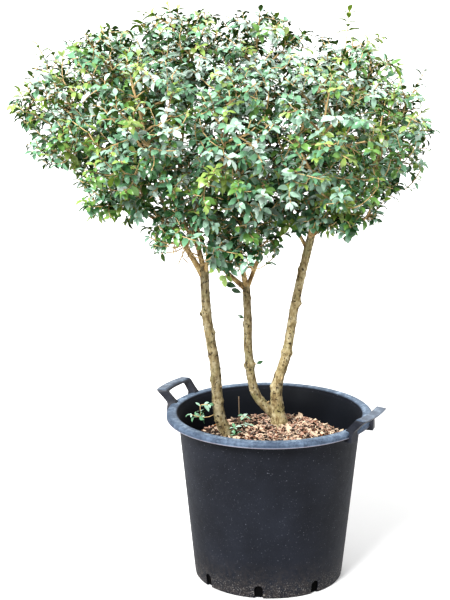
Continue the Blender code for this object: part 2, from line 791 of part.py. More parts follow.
def make_mass(name, bough_name, limbs):
    """Twigs and leaves that grow on from the bough's end, joined into one solid."""
    bough = limbs[bough_name]
    heading = (bough.points[-1] - bough.points[-2]).normalized()
    start = bough.points[-1] + heading * CLEAR
    others = [limb for other, limb in limbs.items() if other != bough_name]
    room = LIMB_GAP + STALK_RADIUS[0]

    def is_free(point):
        if any(gap_to(limb, point) < room for limb in others):
            return False
        if (point - start).dot(heading) > room and (point - start).length < OWN_BOUGH_FREE:
            return True
        return gap_to(bough, point) > room

    def twig_allowed(points):
        return all(in_space(name, place) and is_free(place) for place in along(points, TWIG_PROBES)[1:])

    ends = twig_ends(name, TWIG_TRIES * TWIGS)
    ahead_most = max((end - start).dot(heading) for end in ends)
    ends.sort(key=lambda end: (end - start).dot(heading) < ahead_most)
    twigs = grow(start, heading, ends, twig_allowed, TWIGS)
    group = bpy.data.collections.new("pieces")
    pieces = []
    for index, points in enumerate(twigs):
        radius = TWIG_RADIUS if index else STALK_RADIUS
        foot_way = None if index else heading
        pieces.append(twig_object(points, radius, f"{name}_twig_{index}", group, foot_way))
    wood = [surface_of(piece) for piece in pieces]
    limb_surfaces = [surface_round(limb) for limb in limbs.values()]
    middles = []
    blades = []
    for index, points in enumerate(twigs):
        for root, way, face in leaf_seats(points):
            for size in LEAF_SIZES:
                corners = leaf_corners(root, way, face, size)
                middle = root.lerp(corners[1], LEAF_MIDDLE)
                blade = BVHTree.FromPolygons(corners, LEAF_FACES)
                neighbours = limb_surfaces + wood[:index] + wood[index + 1 :] + blades
                places = along([root, corners[1]], LEAF_PROBES) + corners[2:]
                if (
                    all((middle - other).length > LEAF_ROOM for other in middles)
                    and all(in_space(name, place, LEAF_LIMIT) for place in places)
                    and not any(blade.overlap(other) for other in neighbours)
                ):
                    middles.append(middle)
                    blades.append(blade)
                    pieces.append(leaf_object(corners, f"{name}_leaf_{len(blades)}", group))
                    break
    join_pieces(f"foliage_{name}", pieces, group)
    return len(twigs), len(blades)


def join_pieces(name, pieces, group):
    base = pieces[0]
    group.objects.unlink(base)
    bpy.context.scene.collection.objects.link(base)
    base.name = name
    base.data.materials.clear()
    base.data.materials.append(material("leaf"))
    combine(base, pieces[1:], "UNION")
    bpy.data.collections.remove(group)
    base.data.shade_flat()
    return base


def make_basal_shoot(limbs):
    """A thin young shoot with small leaves that springs from the left stem just over the soil."""
    stem = limbs["stem_left"]
    start = SHOOT_ROOT.copy()
    way = (Vector(SHOOT_ENDS[0]) - start).normalized()
    while gap_to(stem, start) < -SHOOT_SUNK:
        start += way * CLEAR
    twigs = grow(start, way, [Vector(end) for end in SHOOT_ENDS], lambda points: True, len(SHOOT_ENDS))
    group = bpy.data.collections.new("pieces")
    pieces = []
    for index, points in enumerate(twigs):
        pieces.append(twig_object(points, SHOOT_RADIUS, f"shoot_twig_{index}", group))
        for root, leaf, face in leaf_seats(points):
            corners = leaf_corners(root, leaf, face, SHOOT_LEAF_SCALE)
            if all(gap_to(stem, c) > LIMB_GAP for c in corners):
                pieces.append(leaf_object(corners, f"shoot_leaf_{len(pieces)}", group))
    shoot = join_pieces("basal_shoot", pieces, group)
    combine(shoot, [grown_copy(stem, "cut_stem")], "DIFFERENCE")


def main():
    clear_scene()
    make_pot()
    make_soil()
    for name, angle in GRIP_ANGLES.items():
        make_grip(name, angle)
    limbs = make_limbs()
    counts = {bough.mass: make_mass(bough.mass, name, limbs) for name, bough in BOUGHS.items()}
    make_basal_shoot(limbs)
    print(sum(leaves for _, leaves in counts.values()), "leaves, and twigs and leaves by mass:", counts)


main()
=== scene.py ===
import json
import math
from collections import namedtuple

import bpy
import numpy as np
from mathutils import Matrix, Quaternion, Vector, noise

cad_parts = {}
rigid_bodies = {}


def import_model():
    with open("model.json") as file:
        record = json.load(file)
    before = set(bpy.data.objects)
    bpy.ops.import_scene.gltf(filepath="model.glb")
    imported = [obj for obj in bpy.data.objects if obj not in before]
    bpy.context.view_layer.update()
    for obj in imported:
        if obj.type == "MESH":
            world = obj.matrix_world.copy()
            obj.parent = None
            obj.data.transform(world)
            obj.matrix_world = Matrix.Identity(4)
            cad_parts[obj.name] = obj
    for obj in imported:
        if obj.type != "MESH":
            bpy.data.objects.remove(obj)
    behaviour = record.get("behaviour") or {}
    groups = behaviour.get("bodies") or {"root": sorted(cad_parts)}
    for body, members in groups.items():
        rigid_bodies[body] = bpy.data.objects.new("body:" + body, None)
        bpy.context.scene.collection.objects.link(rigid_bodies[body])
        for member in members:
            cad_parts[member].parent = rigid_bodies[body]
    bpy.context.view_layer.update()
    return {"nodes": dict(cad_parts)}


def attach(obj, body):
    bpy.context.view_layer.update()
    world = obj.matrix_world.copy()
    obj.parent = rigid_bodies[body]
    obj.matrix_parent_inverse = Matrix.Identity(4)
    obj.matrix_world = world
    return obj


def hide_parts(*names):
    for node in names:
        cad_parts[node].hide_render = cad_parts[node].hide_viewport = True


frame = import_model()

UP = Vector((0, 0, 1))
FULL_TURN = 2 * math.pi
SEED = 41

# Container, as in the frame
POT_HEIGHT = 0.460
POT_FOOT_RADIUS = 0.201
POT_MOUTH_RADIUS = 0.248
POT_WALL = 0.004
POT_FLOOR = 0.006
POT_SIDES = 144
POT_CREASE = 40  # degrees at which an edge stays sharp
OUTER_HEIGHTS = (0.04, 0.10, 0.20, 0.30, 0.40)  # of the corners up the outside
INNER_HEIGHTS = (0.444, 0.40, 0.20)  # of the corners down the inside
FOOT_ROUND = 0.005
LIP_RADIUS = 0.278
LIP_DEPTH = 0.017
LIP_FOOT = POT_HEIGHT - LIP_DEPTH
LIP_ROUND = 0.008
LIP_CROWN = 0.0012  # rise of the lip's top between its edges
# The lip's underside from the wall, then its skirt, bead and groove from its edge: (outwards, upwards)
LIP_UNDERSIDE = [(0.001, 0.0), (0.003, 0.0006)]
LIP_SKIRT = [
    (-0.0030, 0.0006), (-0.0006, 0.0), (0.0, 0.0008), (-0.0003, 0.0026), (-0.0012, 0.0036), (-0.0008, 0.006)
]
NOTCHES = 8
NOTCH_WIDTH = 0.023
NOTCH_HEIGHT = 0.037
NOTCH_FIRST = math.radians(-97.3)
NOTCH_ARCH_STEPS = 10
NOTCH_BELOW = 0.01  # how far the cutter reaches under the foot
NOTCH_INSIDE = 0.006  # and inside the wall
NOTCH_LENGTH = 0.03

GRIP_ANGLES = {"handle_left": math.radians(153.2), "handle_right": math.radians(-26.8)}
GRIP_RISE = 0.035
GRIP_LEAN = 0.033
GRIP_TILT = 0.12  # slope of the strap, down towards its outer edge
GRIP_HALF_WIDTH = 0.066
GRIP_FOOT_SPREAD = 0.010
GRIP_FOOT_DROP = 0.028
GRIP_STRAP = 0.026
GRIP_THICKNESS = 0.008
GRIP_ARM = 0.013
GRIP_CORNER = 0.006
GRIP_EASE = 0.002  # how far the arms' corners are eased
GRIP_WAIST = 0.015  # height at which the arms leave the flare of their feet
GRIP_FOOT_RADIUS = 0.274
GRIP_EDGE = 0.0016  # radius of the strap's long edges
GRIP_ROUNDED = 50  # degrees from which an edge is rounded
GRIP_CREASE = 70  # degrees from which an edge stays sharp
GRIP_STEPS = 3  # from one station along the strap to the next

SOIL_TOP = 0.392
SOIL_FLAT = 0.142  # radius of the level part round the stems
SOIL_EDGE = 0.352  # height beside the wall
SOIL_RADIUS = 0.2325
SOIL_COVER = 0.004  # of crumbs over the frame's soil
SOIL_LIFT = 0.0002  # of the sheet's turned-down edge
SOIL_RINGS = 64
SOIL_SIDES = 200
SOIL_CREASE = 50
CLODS = (38, 0.0045)  # waves a metre, height
CRUMBS = (120, 0.0028)
HEAP_AT = (0.065, 0.010)  # where the bark chips are heaped highest
HEAP_REACH = (0.145, 0.200)
HEAP_RISE = 0.007
CHIPS = 3600
CHIPS_FROM_WALL = 0.008
CHIPS_STREWN = 0.10  # how close the chips lie far from the heap, of how close they lie on it
CHIP_LIFT = 0.0012
CHIP_PILE = 0.007  # height of the loose chips over the earth
CHIP_PILE_LEAST = 0.35  # share of it that is left far from the heap
CHIP_SIDES = 6
CHIP_TURN_STRAY = 0.22  # of a chip's corners, in sides
CHIP_OUTS = (0.75, 1.15)  # how far out its corners are, of an oval's
CHIP_LENGTHS = (0.005, 0.015)
CHIP_BREADTHS = (0.26, 0.62)  # of its length
CHIP_THICKNESSES = (0.0012, 0.0030)
CHIP_TILTS = (0.42, 0.36)  # radians that it strays from lying flat
CHIP_BEVEL = 0.86  # size of a chip's underside, of its top's
CHIP_SLIVERS = 0.05  # share of chips that are long and pale
SLIVER_LENGTHS = (0.018, 0.032)
SLIVER_TINT = 1
CHIP_TINTS = {
    "chip_pink": (0.325, 0.198, 0.146),
    "chip_beige": (0.500, 0.385, 0.280),
    "chip_grey": (0.210, 0.165, 0.135),
    "chip_red": (0.180, 0.085, 0.050),
    "chip_dark": (0.055, 0.034, 0.024),
    "chip_black": (0.018, 0.012, 0.010),
}
CHIP_SHARES = (0.26, 0.20, 0.18, 0.12, 0.16, 0.08)

# Small growth on the soil and the stems
SHOOT_ROOT = (-0.1450, -0.0420, 0.4600)
SHOOT_ENDS = [(-0.208, -0.066, 0.467), (-0.185, -0.052, 0.488), (-0.160, -0.060, 0.493)]
SHOOT_RADIUS = (0.0016, 0.0008)
SHOOT_STEP = 0.000275  # by which its root moves out of the stem
SHOOT_LEAF = 0.75  # of LEAF_LENGTH
SHOOT_PALE = 0.3  # share of its leaves that are paler
SEEDLINGS = [
    (-0.071, 0.030, 0.030), (-0.062, 0.034, 0.006), (-0.096, -0.042, 0.024), (-0.090, -0.058, 0.008)
]
SEEDLING_RADIUS = (0.0007, 0.0006)
SEEDLING_LEAN = 0.004
SEEDLING_LEAVES = 4
SEEDLING_LEAF = 0.72
SEEDLING_RISES = (0.3, 1.3)
SEEDLING_SIZES = (0.7, 1.2)
FALLEN_LEAVES = [(-0.060, 0.170), (0.030, 0.170), (-0.140, 0.105), (0.165, 0.020)]
FALLEN_LIFT = 0.0030
FALLEN_RISES = (-0.05, 0.2)
FALLEN_SIZES = (0.6, 0.9)
STICK = [(-0.082, 0.052, 0.392), (-0.083, 0.052, 0.438), (-0.084, 0.053, 0.482)]
STICK_RADIUS = (0.0022, 0.0015)
STICK_STEP = 0.008
STICK_FOOT_RINGS = 5
# Broken-off side twigs: the stem, a point along it, the stub's way and length
STUBS = [
    ("stem_middle", 0.19, (-0.9, -0.3, 0.35), 0.016),
    ("stem_middle", 0.10, (0.6, -0.6, 0.5), 0.012),
    ("stem_right", 0.20, (0.5, -0.6, 0.9), 0.030),
    ("stem_left", 0.30, (0.8, -0.5, 0.4), 0.010),
    ("stem_left", 0.62, (-0.8, -0.4, 0.5), 0.012),
    ("stem_right", 0.52, (0.9, -0.2, 0.5), 0.010),
]
STUB_RADIUS = (0.0034, 0.0022)
STUB_RISE = 0.12  # of its length, at each of its rings
STUB_RINGS = 5
STICK_SIDES = 8
# Single leaves on the middle stem: the foot and the tip of their stalks, and their size
SPRIGS = [
    ((-0.070, 0.040, 0.792), (-0.090, 0.010, 0.800), 1.05),
    ((-0.066, 0.045, 0.774), (-0.077, 0.030, 0.779), 1.00),
    ((-0.064, 0.047, 0.702), (-0.070, 0.038, 0.706), 0.60),
    ((-0.044, 0.046, 0.577), (-0.036, 0.034, 0.581), 0.60),
]
SPRIG_RADIUS = 0.0010
SPRIG_FACE = Vector((0, -1, 0.25))
SPRIG_TURN = Vector((1, 0.3, 1))  # the leaves run on from their stalks, turned more to the side

# Wood: the same ways as the frame's stems and boughs. A stem has its foot's radius, its top's and its flare
Stem = namedtuple("Stem", "way radius")
STEMS = {
    "stem_left": Stem(
        [
            (-0.109, -0.034, SOIL_TOP), (-0.135, -0.038, 0.463), (-0.145, -0.045, 0.592),
            (-0.165, -0.053, 0.725), (-0.173, -0.060, 0.862),
        ],
        (0.0150, 0.0115, 0.003),
    ),
    "stem_right": Stem(
        [
            (0.029, 0.040, SOIL_TOP), (0.019, 0.032, 0.512), (0.046, 0.022, 0.619),
            (0.069, 0.013, 0.767), (0.112, 0.000, 0.965),
        ],
        (0.0140, 0.0105, 0.012),
    ),
    "stem_middle": Stem(
        [
            (0.014, 0.041, 0.432), (-0.040, 0.046, 0.499), (-0.058, 0.047, 0.611),
            (-0.060, 0.048, 0.700), (-0.065, 0.050, 0.800),
        ],
        (0.0135, 0.0100, 0.0),
    ),
}
FLARE_LENGTH = 0.065
STEM_STEP = 0.055
STEM_BURIED = 0.012
STEM_MESH = (24, 0.0035)  # sides, and the step from ring to ring
BOUGH_MESH = (12, 0.006)
# Knots on the stems: the stem, its height, the side they stand on in degrees from +X, and their size
KNOTS = [
    ("stem_left", 0.742, 195, 0.62), ("stem_left", 0.690, 350, 0.30), ("stem_left", 0.560, 190, 0.34),
    ("stem_left", 0.640, 300, 0.22), ("stem_left", 0.800, 280, 0.26), ("stem_left", 0.500, 330, 0.24),
    ("stem_middle", 0.572, 185, 0.42), ("stem_middle", 0.575, 350, 0.42), ("stem_middle", 0.690, 180, 0.30),
    ("stem_middle", 0.760, 320, 0.26), ("stem_middle", 0.640, 270, 0.22),
    ("stem_right", 0.757, 350, 0.50), ("stem_right", 0.620, 190, 0.30), ("stem_right", 0.615, 340, 0.22),
    ("stem_right", 0.850, 200, 0.30), ("stem_right", 0.520, 190, 0.30), ("stem_right", 0.700, 250, 0.22),
]
KNOT_REACH = 0.0075
# Bark relief: waves a metre, and height as a share of the limb's radius
SWELLINGS = (26.0, 0.095)
RIPPLES = (Vector((90, 90, 150)), 0.075)
WARTS = (230.0, 0.22)
WARTS_FROM = 0.20
ROUND_END = (0.5, 0.8, 0.95)  # rings past a limb's end, as shares of its radius

Bough = namedtuple("Bough", "parent share mass radius way")
BOUGHS = {
    "bough_left_outer": Bough(
        "stem_left", 0.95, "left_outer", 0.0080,
        [(-0.216, -0.062, 0.914), (-0.257, -0.066, 0.974), (-0.341, -0.058, 1.045), (-0.400, -0.045, 1.100)],
    ),
    "bough_left_top": Bough(
        "stem_left", 0.985, "left_top", 0.0075, [(-0.196, -0.045, 0.940), (-0.262, 0.000, 1.110)]
    ),
    "bough_left_inner": Bough(
        "stem_left", 0.96, "low_left", 0.0060, [(-0.163, -0.082, 0.905), (-0.178, -0.100, 0.945)]
    ),
    "bough_left_low": Bough("bough_left_outer", 0.38, "left_low", 0.0055, [(-0.312, -0.098, 1.012)]),
    "bough_left_back": Bough("bough_left_outer", 0.25, "left_back", 0.0060, [(-0.290, 0.040, 1.030)]),
    "bough_left_front": Bough("bough_left_top", 0.18, "left_front", 0.0060, [(-0.235, -0.130, 1.020)]),
    "bough_top_left": Bough("bough_left_top", 0.50, "top_left", 0.0055, [(-0.232, 0.015, 1.200)]),
    "bough_centre_back": Bough(
        "stem_middle", 0.96, "centre_back", 0.0070,
        [(-0.119, 0.055, 0.832), (-0.150, 0.085, 0.880), (-0.150, 0.150, 1.000)],
    ),
    "bough_centre_top": Bough(
        "stem_middle", 0.985, "centre_top", 0.0070,
        [(-0.081, 0.048, 0.870), (-0.080, 0.040, 0.940), (-0.062, 0.020, 1.100)],
    ),
    "bough_centre_low": Bough("stem_middle", 0.97, "low_centre", 0.0060, [(-0.074, 0.010, 0.866)]),
    "bough_centre_front": Bough(
        "stem_middle", 0.955, "centre_front", 0.0062,
        [(-0.040, 0.045, 0.848), (-0.026, 0.022, 0.900), (-0.050, -0.090, 1.040)],
    ),
    "bough_right_top": Bough(
        "stem_right", 0.985, "right_top", 0.0090, [(0.118, 0.003, 1.050), (0.148, 0.012, 1.165)]
    ),
    "bough_right_outer": Bough(
        "stem_right", 0.965, "right_outer", 0.0080, [(0.172, -0.010, 0.995), (0.250, -0.015, 1.070)]
    ),
    "bough_right_front": Bough("stem_right", 0.95, "right_front", 0.0065, [(0.100, -0.085, 1.040)]),
    "bough_right_inner": Bough("stem_right", 0.89, "centre_inner", 0.0050, [(0.068, 0.002, 0.960)]),
    "bough_right_back": Bough("bough_right_top", 0.22, "right_back", 0.0065, [(0.138, 0.085, 1.065)]),
    "bough_right_low": Bough("bough_right_outer", 0.30, "right_low", 0.0050, [(0.200, -0.055, 1.000)]),
}
BOUGH_TIP = 0.6
BOUGH_STEP = 0.06
BOUGH_ENTERS = 0.65
BOUGH_FLARE = 0.35
BOUGH_FLARE_LENGTH = 0.012
ENTRY_STEPS = 50
ENTRY_FIRST = 8
ENTRY_ROOM = 0.01
ENTRY_MARGIN = 0.040

Mass = namedtuple("Mass", "centre reach shoots")
MASSES = {
    "left_outer": Mass(
        (-0.480, -0.020, 1.272), (0.190, 0.230, 0.178), [(-0.655, -0.030, 1.300), (-0.603, 0.000, 1.436)]
    ),
    "left_low": Mass((-0.353, -0.080, 1.120), (0.165, 0.200, 0.140), [(-0.455, -0.110, 1.010)]),
    "left_top": Mass((-0.392, 0.000, 1.352), (0.190, 0.240, 0.140), [(-0.430, 0.020, 1.470)]),
    "left_back": Mass((-0.370, 0.240, 1.250), (0.220, 0.220, 0.215), [(-0.450, 0.440, 1.330)]),
    "left_front": Mass((-0.300, -0.240, 1.250), (0.205, 0.205, 0.200), [(-0.330, -0.440, 1.300)]),
    "top_left": Mass(
        (-0.220, 0.020, 1.400), (0.180, 0.240, 0.140), [(-0.268, 0.000, 1.544), (-0.325, 0.010, 1.522)]
    ),
    "centre_top": Mass(
        (-0.050, 0.000, 1.378), (0.195, 0.240, 0.160),
        [(-0.010, 0.010, 1.524), (-0.115, 0.005, 1.512), (0.048, 0.015, 1.498)],
    ),
    "centre_front": Mass((-0.095, -0.240, 1.225), (0.200, 0.205, 0.210), [(-0.080, -0.440, 1.290)]),
    "centre_back": Mass((-0.120, 0.250, 1.250), (0.220, 0.215, 0.220), [(-0.100, 0.450, 1.330)]),
    "centre_inner": Mass((0.030, -0.060, 1.110), (0.165, 0.180, 0.150), []),
    "low_left": Mass((-0.195, -0.115, 1.045), (0.150, 0.200, 0.170), [(-0.235, -0.160, 0.895)]),
    "low_centre": Mass((-0.096, -0.075, 1.000), (0.145, 0.190, 0.160), [(-0.115, -0.110, 0.850)]),
    "right_top": Mass(
        (0.170, 0.020, 1.310), (0.190, 0.230, 0.160), [(0.198, 0.020, 1.524), (0.288, 0.010, 1.462)]
    ),
    "right_outer": Mass(
        (0.275, -0.010, 1.220), (0.142, 0.225, 0.180), [(0.416, -0.020, 1.225), (0.395, 0.000, 1.378)]
    ),
    "right_low": Mass((0.152, -0.090, 1.085), (0.155, 0.190, 0.130), [(0.275, -0.100, 1.002)]),
    "right_front": Mass((0.110, -0.230, 1.230), (0.205, 0.205, 0.205), [(0.150, -0.430, 1.310)]),
    "right_back": Mass((0.150, 0.220, 1.210), (0.215, 0.215, 0.210), [(0.190, 0.420, 1.290)]),
}
SPACE_MARGIN = 0.010
SHOOT_ROOM = 0.070
TWIGS = 160  # in each mass, where the frame has a few
TWIG_TRIES = 8  # ends tried for each twig
TWIG_DEEPEST = 0.30
TURN_COST = 0.55
PATH_COST = 0.30
# How far a twig keeps its first way, and how far it sags, in the order in which they are tried
TWIG_BENDS = ((0.42, 0.26), (0.42, 0.12), (0.10, 0.0))
JOINT_STEP = 0.018
LIMB_GAP = 0.002
OWN_BOUGH_FREE = 0.03
TWIG_FOOT = 0.95  # radius of a mass's first twig at its foot, of its bough's end
TWIG_TIP_RADIUS = 0.0014
TWIG_BRANCHING = 3.4  # the power at which the sections of the wood add up at a fork
TWIG_SIDES = 4

LEAF_LENGTH = 0.0335
LEAF_WIDTH = 0.0155
LEAF_SPREAD = math.radians(50)
LEAF_SPREAD_STRAY = 0.16
LEAF_SPREAD_GROWS = 0.05  # with each pair down the twig
LEAF_FACING_UP = 1.8
LEAF_FACING_OUT = 0.5  # away from the middle of the crown
LEAF_STRAY = 0.45
CROWN_MIDDLE = (-0.120, 0.0)
LEAF_TILT = 0.6
LEAF_LEVEL = 0.65  # how far a pair on a slanting twig turns level
LEAF_SPACING = 0.0122
LEAF_SPACINGS = (0.85, 1.2)
LEAF_PAIRS = 5
LEAF_YOUNGEST = 0.72  # size of the tip pair, of a grown pair's
LEAF_SIZES = (0.72, 1.12)
LEAF_OLDER = 0.5  # share of the lower leaves on a twig that are an older tint
TIP_LEAVES = 0.6  # share of the sprays with a leaf at the tip
TIP_LEAF_SIZES = (0.6, 0.95)
FRESH_TIPS = 0.25  # share of the sprays whose tip pair is fresher than the rest
FRESH_ABOVE = 1.40  # height over which the shoots that stand out of the crown are fresh
LEAF_FROM_TIP = 0.003
LEAF_PAST_TWIG = 0.10
LEAF_BARE = 0.25  # share of a twig next to its foot that bears no leaves
LEAF_SHAPE = [(0.12, 0.34), (0.34, 0.88), (0.58, 1.00), (0.83, 0.52)]  # share of length, of width
LEAF_MIDRIB = 0.0007
LEAF_CREASE = 75  # degrees at which an edge stays sharp
# How leaves differ: ranges of width, arch, fold and wave, and the spread of their twist
LEAF_WIDTHS = (0.82, 1.15)
LEAF_ARCHES = (0.40, 1.60)
LEAF_FOLDS = (0.10, 0.38)
LEAF_WAVES = (0.0, 0.22)
LEAF_TWIST = 0.22
LEAF_WAVE_RUN = 9  # radians of the wave from foot to tip
# Parts of the crown's underside where the forks stand bare: their middles and reaches
BARE_PARTS = [
    ((-0.208, -0.100, 0.905), (0.064, 0.300, 0.085)),
    ((-0.048, -0.040, 0.835), (0.070, 0.260, 0.072)),
]
# Leaf tints, each (upper side, roughness), the tint that each ages to, and the undersides. The silver tint is
# painted sheen, the pale sky reflection on glossy leaf tops.
TINTS = {
    "silver_sheen": ((0.340, 0.440, 0.378), 0.30),
    "sage": ((0.252, 0.396, 0.298), 0.29),
    "mid": ((0.118, 0.262, 0.146), 0.28),
    "green": ((0.116, 0.238, 0.056), 0.28),
    "olive": ((0.164, 0.232, 0.052), 0.32),
    "deep": ((0.021, 0.068, 0.021), 0.26),
    "fresh": ((0.235, 0.348, 0.085), 0.32),
}
OLDER = {
    "silver_sheen": "sage", "sage": "mid", "mid": "deep", "green": "mid",
    "olive": "green", "deep": "deep", "fresh": "olive",
}
# The older undersides are darkened, as painted shade
UNDERSIDES = {"under_old_shaded": (0.040, 0.082, 0.012), "under_young": (0.165, 0.248, 0.028)}
YOUNG = ("fresh", "olive")

# Bark: pale, tan, deep, pits and, on the stems, film
STEM_TONES = [
    (0.700, 0.610, 0.390), (0.480, 0.380, 0.190), (0.210, 0.145, 0.065), (0.055, 0.034, 0.016),
    (0.360, 0.340, 0.150),
]
# Each stem's bark is darkened by its own share, as painted shade, the left stem most
STEM_PAINTED_SHADES = {"stem_left": 0.41, "stem_right": 0.62, "stem_middle": 0.46}  # shares of their brightness
BOUGH_TONES = [(0.560, 0.430, 0.220), (0.340, 0.230, 0.100), (0.150, 0.090, 0.040), (0.050, 0.030, 0.015)]
STUB_TONES = [(0.480, 0.380, 0.220), (0.300, 0.210, 0.110), (0.140, 0.085, 0.040), (0.050, 0.030, 0.015)]
# The noise over which pits show: the less, the more pits
STEM_PITS, STUB_PITS, BOUGH_PITS = 0.572, 0.60, 0.62
PIT_EDGE = 0.05
BARK_STOPS = (0.37, 0.48, 0.61)
SCAR_SHADE = 0.7

# Colours of the container and the soil, the darkest first where there are more
PLASTIC = [(0.32, (0.0050, 0.0060, 0.0092)), (0.70, (0.0112, 0.0132, 0.0196))]
# Colour of the inner wall, darker than the body as painted shade
INSIDE_SHADE = (0.0050, 0.0064, 0.0095)
SPECK = (0.075, 0.080, 0.095)
SCUFF = (0.030, 0.030, 0.034)
GRIME = (0.058, 0.048, 0.040)
GRIT = (0.165, 0.155, 0.145)
# The lip's top, painted pale as sky reflection over some dust
LIP_TOP_DUST_AND_SHEEN = [(0.32, (0.040, 0.060, 0.092)), (0.50, (0.092, 0.128, 0.178)), (0.68, (0.250, 0.312, 0.385))]
LIP_SIDE = [(0.34, (0.026, 0.038, 0.060)), (0.66, (0.115, 0.155, 0.215))]
LIP_DARK = (0.020, 0.031, 0.054)
RIM_LINE = (0.200, 0.180, 0.200)
GRIP_DARK = [(0.30, (0.0080, 0.0090, 0.0130)), (0.72, (0.0180, 0.0200, 0.0280))]
# The strap's upper side, painted pale as sky reflection
GRIP_SHEEN = [(0.32, (0.024, 0.034, 0.052)), (0.50, (0.060, 0.082, 0.116)), (0.70, (0.160, 0.205, 0.255))]
EARTH = [(0.35, (0.010, 0.008, 0.007)), (0.62, (0.045, 0.030, 0.022))]
FLECK = (0.180, 0.130, 0.095)
# Near black, painted shade on the earth under the soil's edge
BURIED_SHADE = (0.003, 0.003, 0.003)

# Noise, in waves a metre, and patterns made of it: where one starts, where it is full, and its most
Grain = namedtuple("Grain", "scale detail roughness stretch", defaults=((1.0, 1.0, 1.0),))
Pattern = namedtuple("Pattern", "grain low high most", defaults=(1.0,))
PLASTIC_CLOUD = Grain(7.0, 6.0, 0.6)
PLASTIC_BUMPS = Grain(420.0, 3.0, 0.6)
# Noise for the lip's mottle and the patches of its painted sheen, and for the plastic's roughness
LIP_WEAR_AND_SHEEN = Grain(60.0, 8.0, 0.72)
GRIP_CLOUD = Grain(42.0, 6.0, 0.65)
GRIP_BUMPS = Grain(500.0, 3.0, 0.6)
EARTH_CLODS = Grain(130.0, 8.0, 0.7)
BARK_MOTTLE = Grain(85.0, 7.0, 0.68, (1.0, 1.0, 0.5))
BARK_BUMPS = Grain(210.0, 7.0, 0.72, (1.0, 1.0, 0.6))
BARK_PITS = Grain(150.0, 4.0, 0.62, (1.0, 1.0, 0.75))
SPECKS = Pattern(Grain(300.0, 2.0, 0.4), 0.68, 0.76)
SCUFFS = Pattern(Grain(14.0, 5.0, 0.7, (1.0, 1.0, 14.0)), 0.70, 0.78)
FOOT_GRIME = Pattern(Grain(70.0, 8.0, 0.75), 0.40, 0.72, 0.70)
FOOT_GRIT = Pattern(Grain(330.0, 2.0, 0.5), 0.58, 0.66, 0.85)
LIP_STRETCHES = Pattern(Grain(7.5, 3.0, 0.6), 0.48, 0.60, 0.60)
FILM = Pattern(Grain(24.0, 4.0, 0.6), 0.52, 0.68, 0.6)
SCARS = Pattern(Grain(52.0, 5.0, 0.68, (1.0, 1.0, 0.9)), 0.56, 0.66, 0.8)
FLECKS = Pattern(Grain(260.0, 2.0, 0.5), 0.66, 0.72)
PLASTIC_ROUGHNESS = (0.50, 0.76)

# Camera, as the photo was taken
CAMERA_PLACE = (0.0, -4.275, 1.797)
CAMERA_DOWN = math.radians(13.559)
CAMERA_TURN = math.radians(1.609)
SENSOR = 24.0
LENS = 66.152
# Light: the sky's strength at the horizon and overhead, and the suns' headings, strengths and widths
SKY = (0.48, 1.62)
SUNS = {"front_sun": ((0.60, 1.0, -0.92), 5.8, 22), "back_sun": ((-0.15, -1.0, -0.95), 1.5, 60)}
FLOOR_SIZE = 120
FLOOR_COLOUR = (0.60, 0.60, 0.60)


def clamp(value):
    return min(1.0, max(0.0, value))


def on_circle(turn, radius=1.0, height=0.0):
    """The point at a turn from +X, a radius and a height."""
    return radius * math.cos(turn), radius * math.sin(turn), height


def square_to(way, face):
    """The unit vector nearest to face that is square to way."""
    return (face - way * face.dot(way)).normalized()


def smooth_way(way, step):
    """Points about a step apart on a smooth curve through the way's points."""
    way = [Vector(point) for point in way]
    ends = [2 * way[0] - way[1], *way, 2 * way[-1] - way[-2]]
    points = [way[0]]
    for before, a, b, after in zip(ends, ends[1:], ends[2:], ends[3:]):
        count = max(1, round((b - a).length / step))
        for index in range(1, count + 1):
            t = index / count
            points.append(
                0.5 * (2 * a + (b - before) * t + (2 * before - 5 * a + 4 * b - after) * t**2
                       + (3 * a - before - 3 * b + after) * t**3)
            )
    return points


def run_lengths(points):
    lengths = [0.0]
    for a, b in zip(points, points[1:]):
        lengths.append(lengths[-1] + (b - a).length)
    return lengths


Limb = namedtuple("Limb", "way points radii")


def gap_to(limb, point):
    """How far the point is outside the limb's surface."""
    best = math.inf
    for index in range(len(limb.points) - 1):
        a, b = limb.points[index], limb.points[index + 1]
        leg = b - a
        t = clamp((point - a).dot(leg) / leg.length_squared)
        radius = limb.radii[index] + (limb.radii[index + 1] - limb.radii[index]) * t
        best = min(best, (point - a - leg * t).length - radius)
    return best


def stem_radius(stem, length, whole):
    below, above, flare = stem.radius
    return below + (above - below) * length / whole + flare * math.exp(-length / FLARE_LENGTH)


def bough_radius(bough, length, whole):
    return bough.radius * (1 - (1 - BOUGH_TIP) * length / whole)


def stem_limb(stem):
    points = smooth_way(stem.way, STEM_STEP)
    lengths = run_lengths(points)
    return Limb(stem.way, points, [stem_radius(stem, length, lengths[-1]) for length in lengths])


def point_along(limb, share):
    lengths = run_lengths(limb.points)
    wanted = share * lengths[-1]
    for index in range(1, len(lengths)):
        if lengths[index] >= wanted:
            t = (wanted - lengths[index - 1]) / (lengths[index] - lengths[index - 1])
            return limb.points[index - 1].lerp(limb.points[index], t)
    return limb.points[-1].copy()


def reach_share(name, point):
    """0 at the mass's centre, 1 at its reach."""
    mass = MASSES[name]
    return Vector([(p - c) / r for p, c, r in zip(point, mass.centre, mass.reach)]).length


def in_space(name, point, margin=SPACE_MARGIN):
    """Whether the point is nearer to this mass than to the others, and within its reach or beside a shoot."""
    own = reach_share(name, point)
    if any(reach_share(other, point) < own + margin for other in MASSES if other != name):
        return False
    if own <= 1:
        return True
    centre = Vector(MASSES[name].centre)
    for shoot in MASSES[name].shoots:
        leg = Vector(shoot) - centre
        t = clamp((point - centre).dot(leg) / leg.length_squared)
        if (point - centre - leg * t).length < SHOOT_ROOM:
            return True
    return False


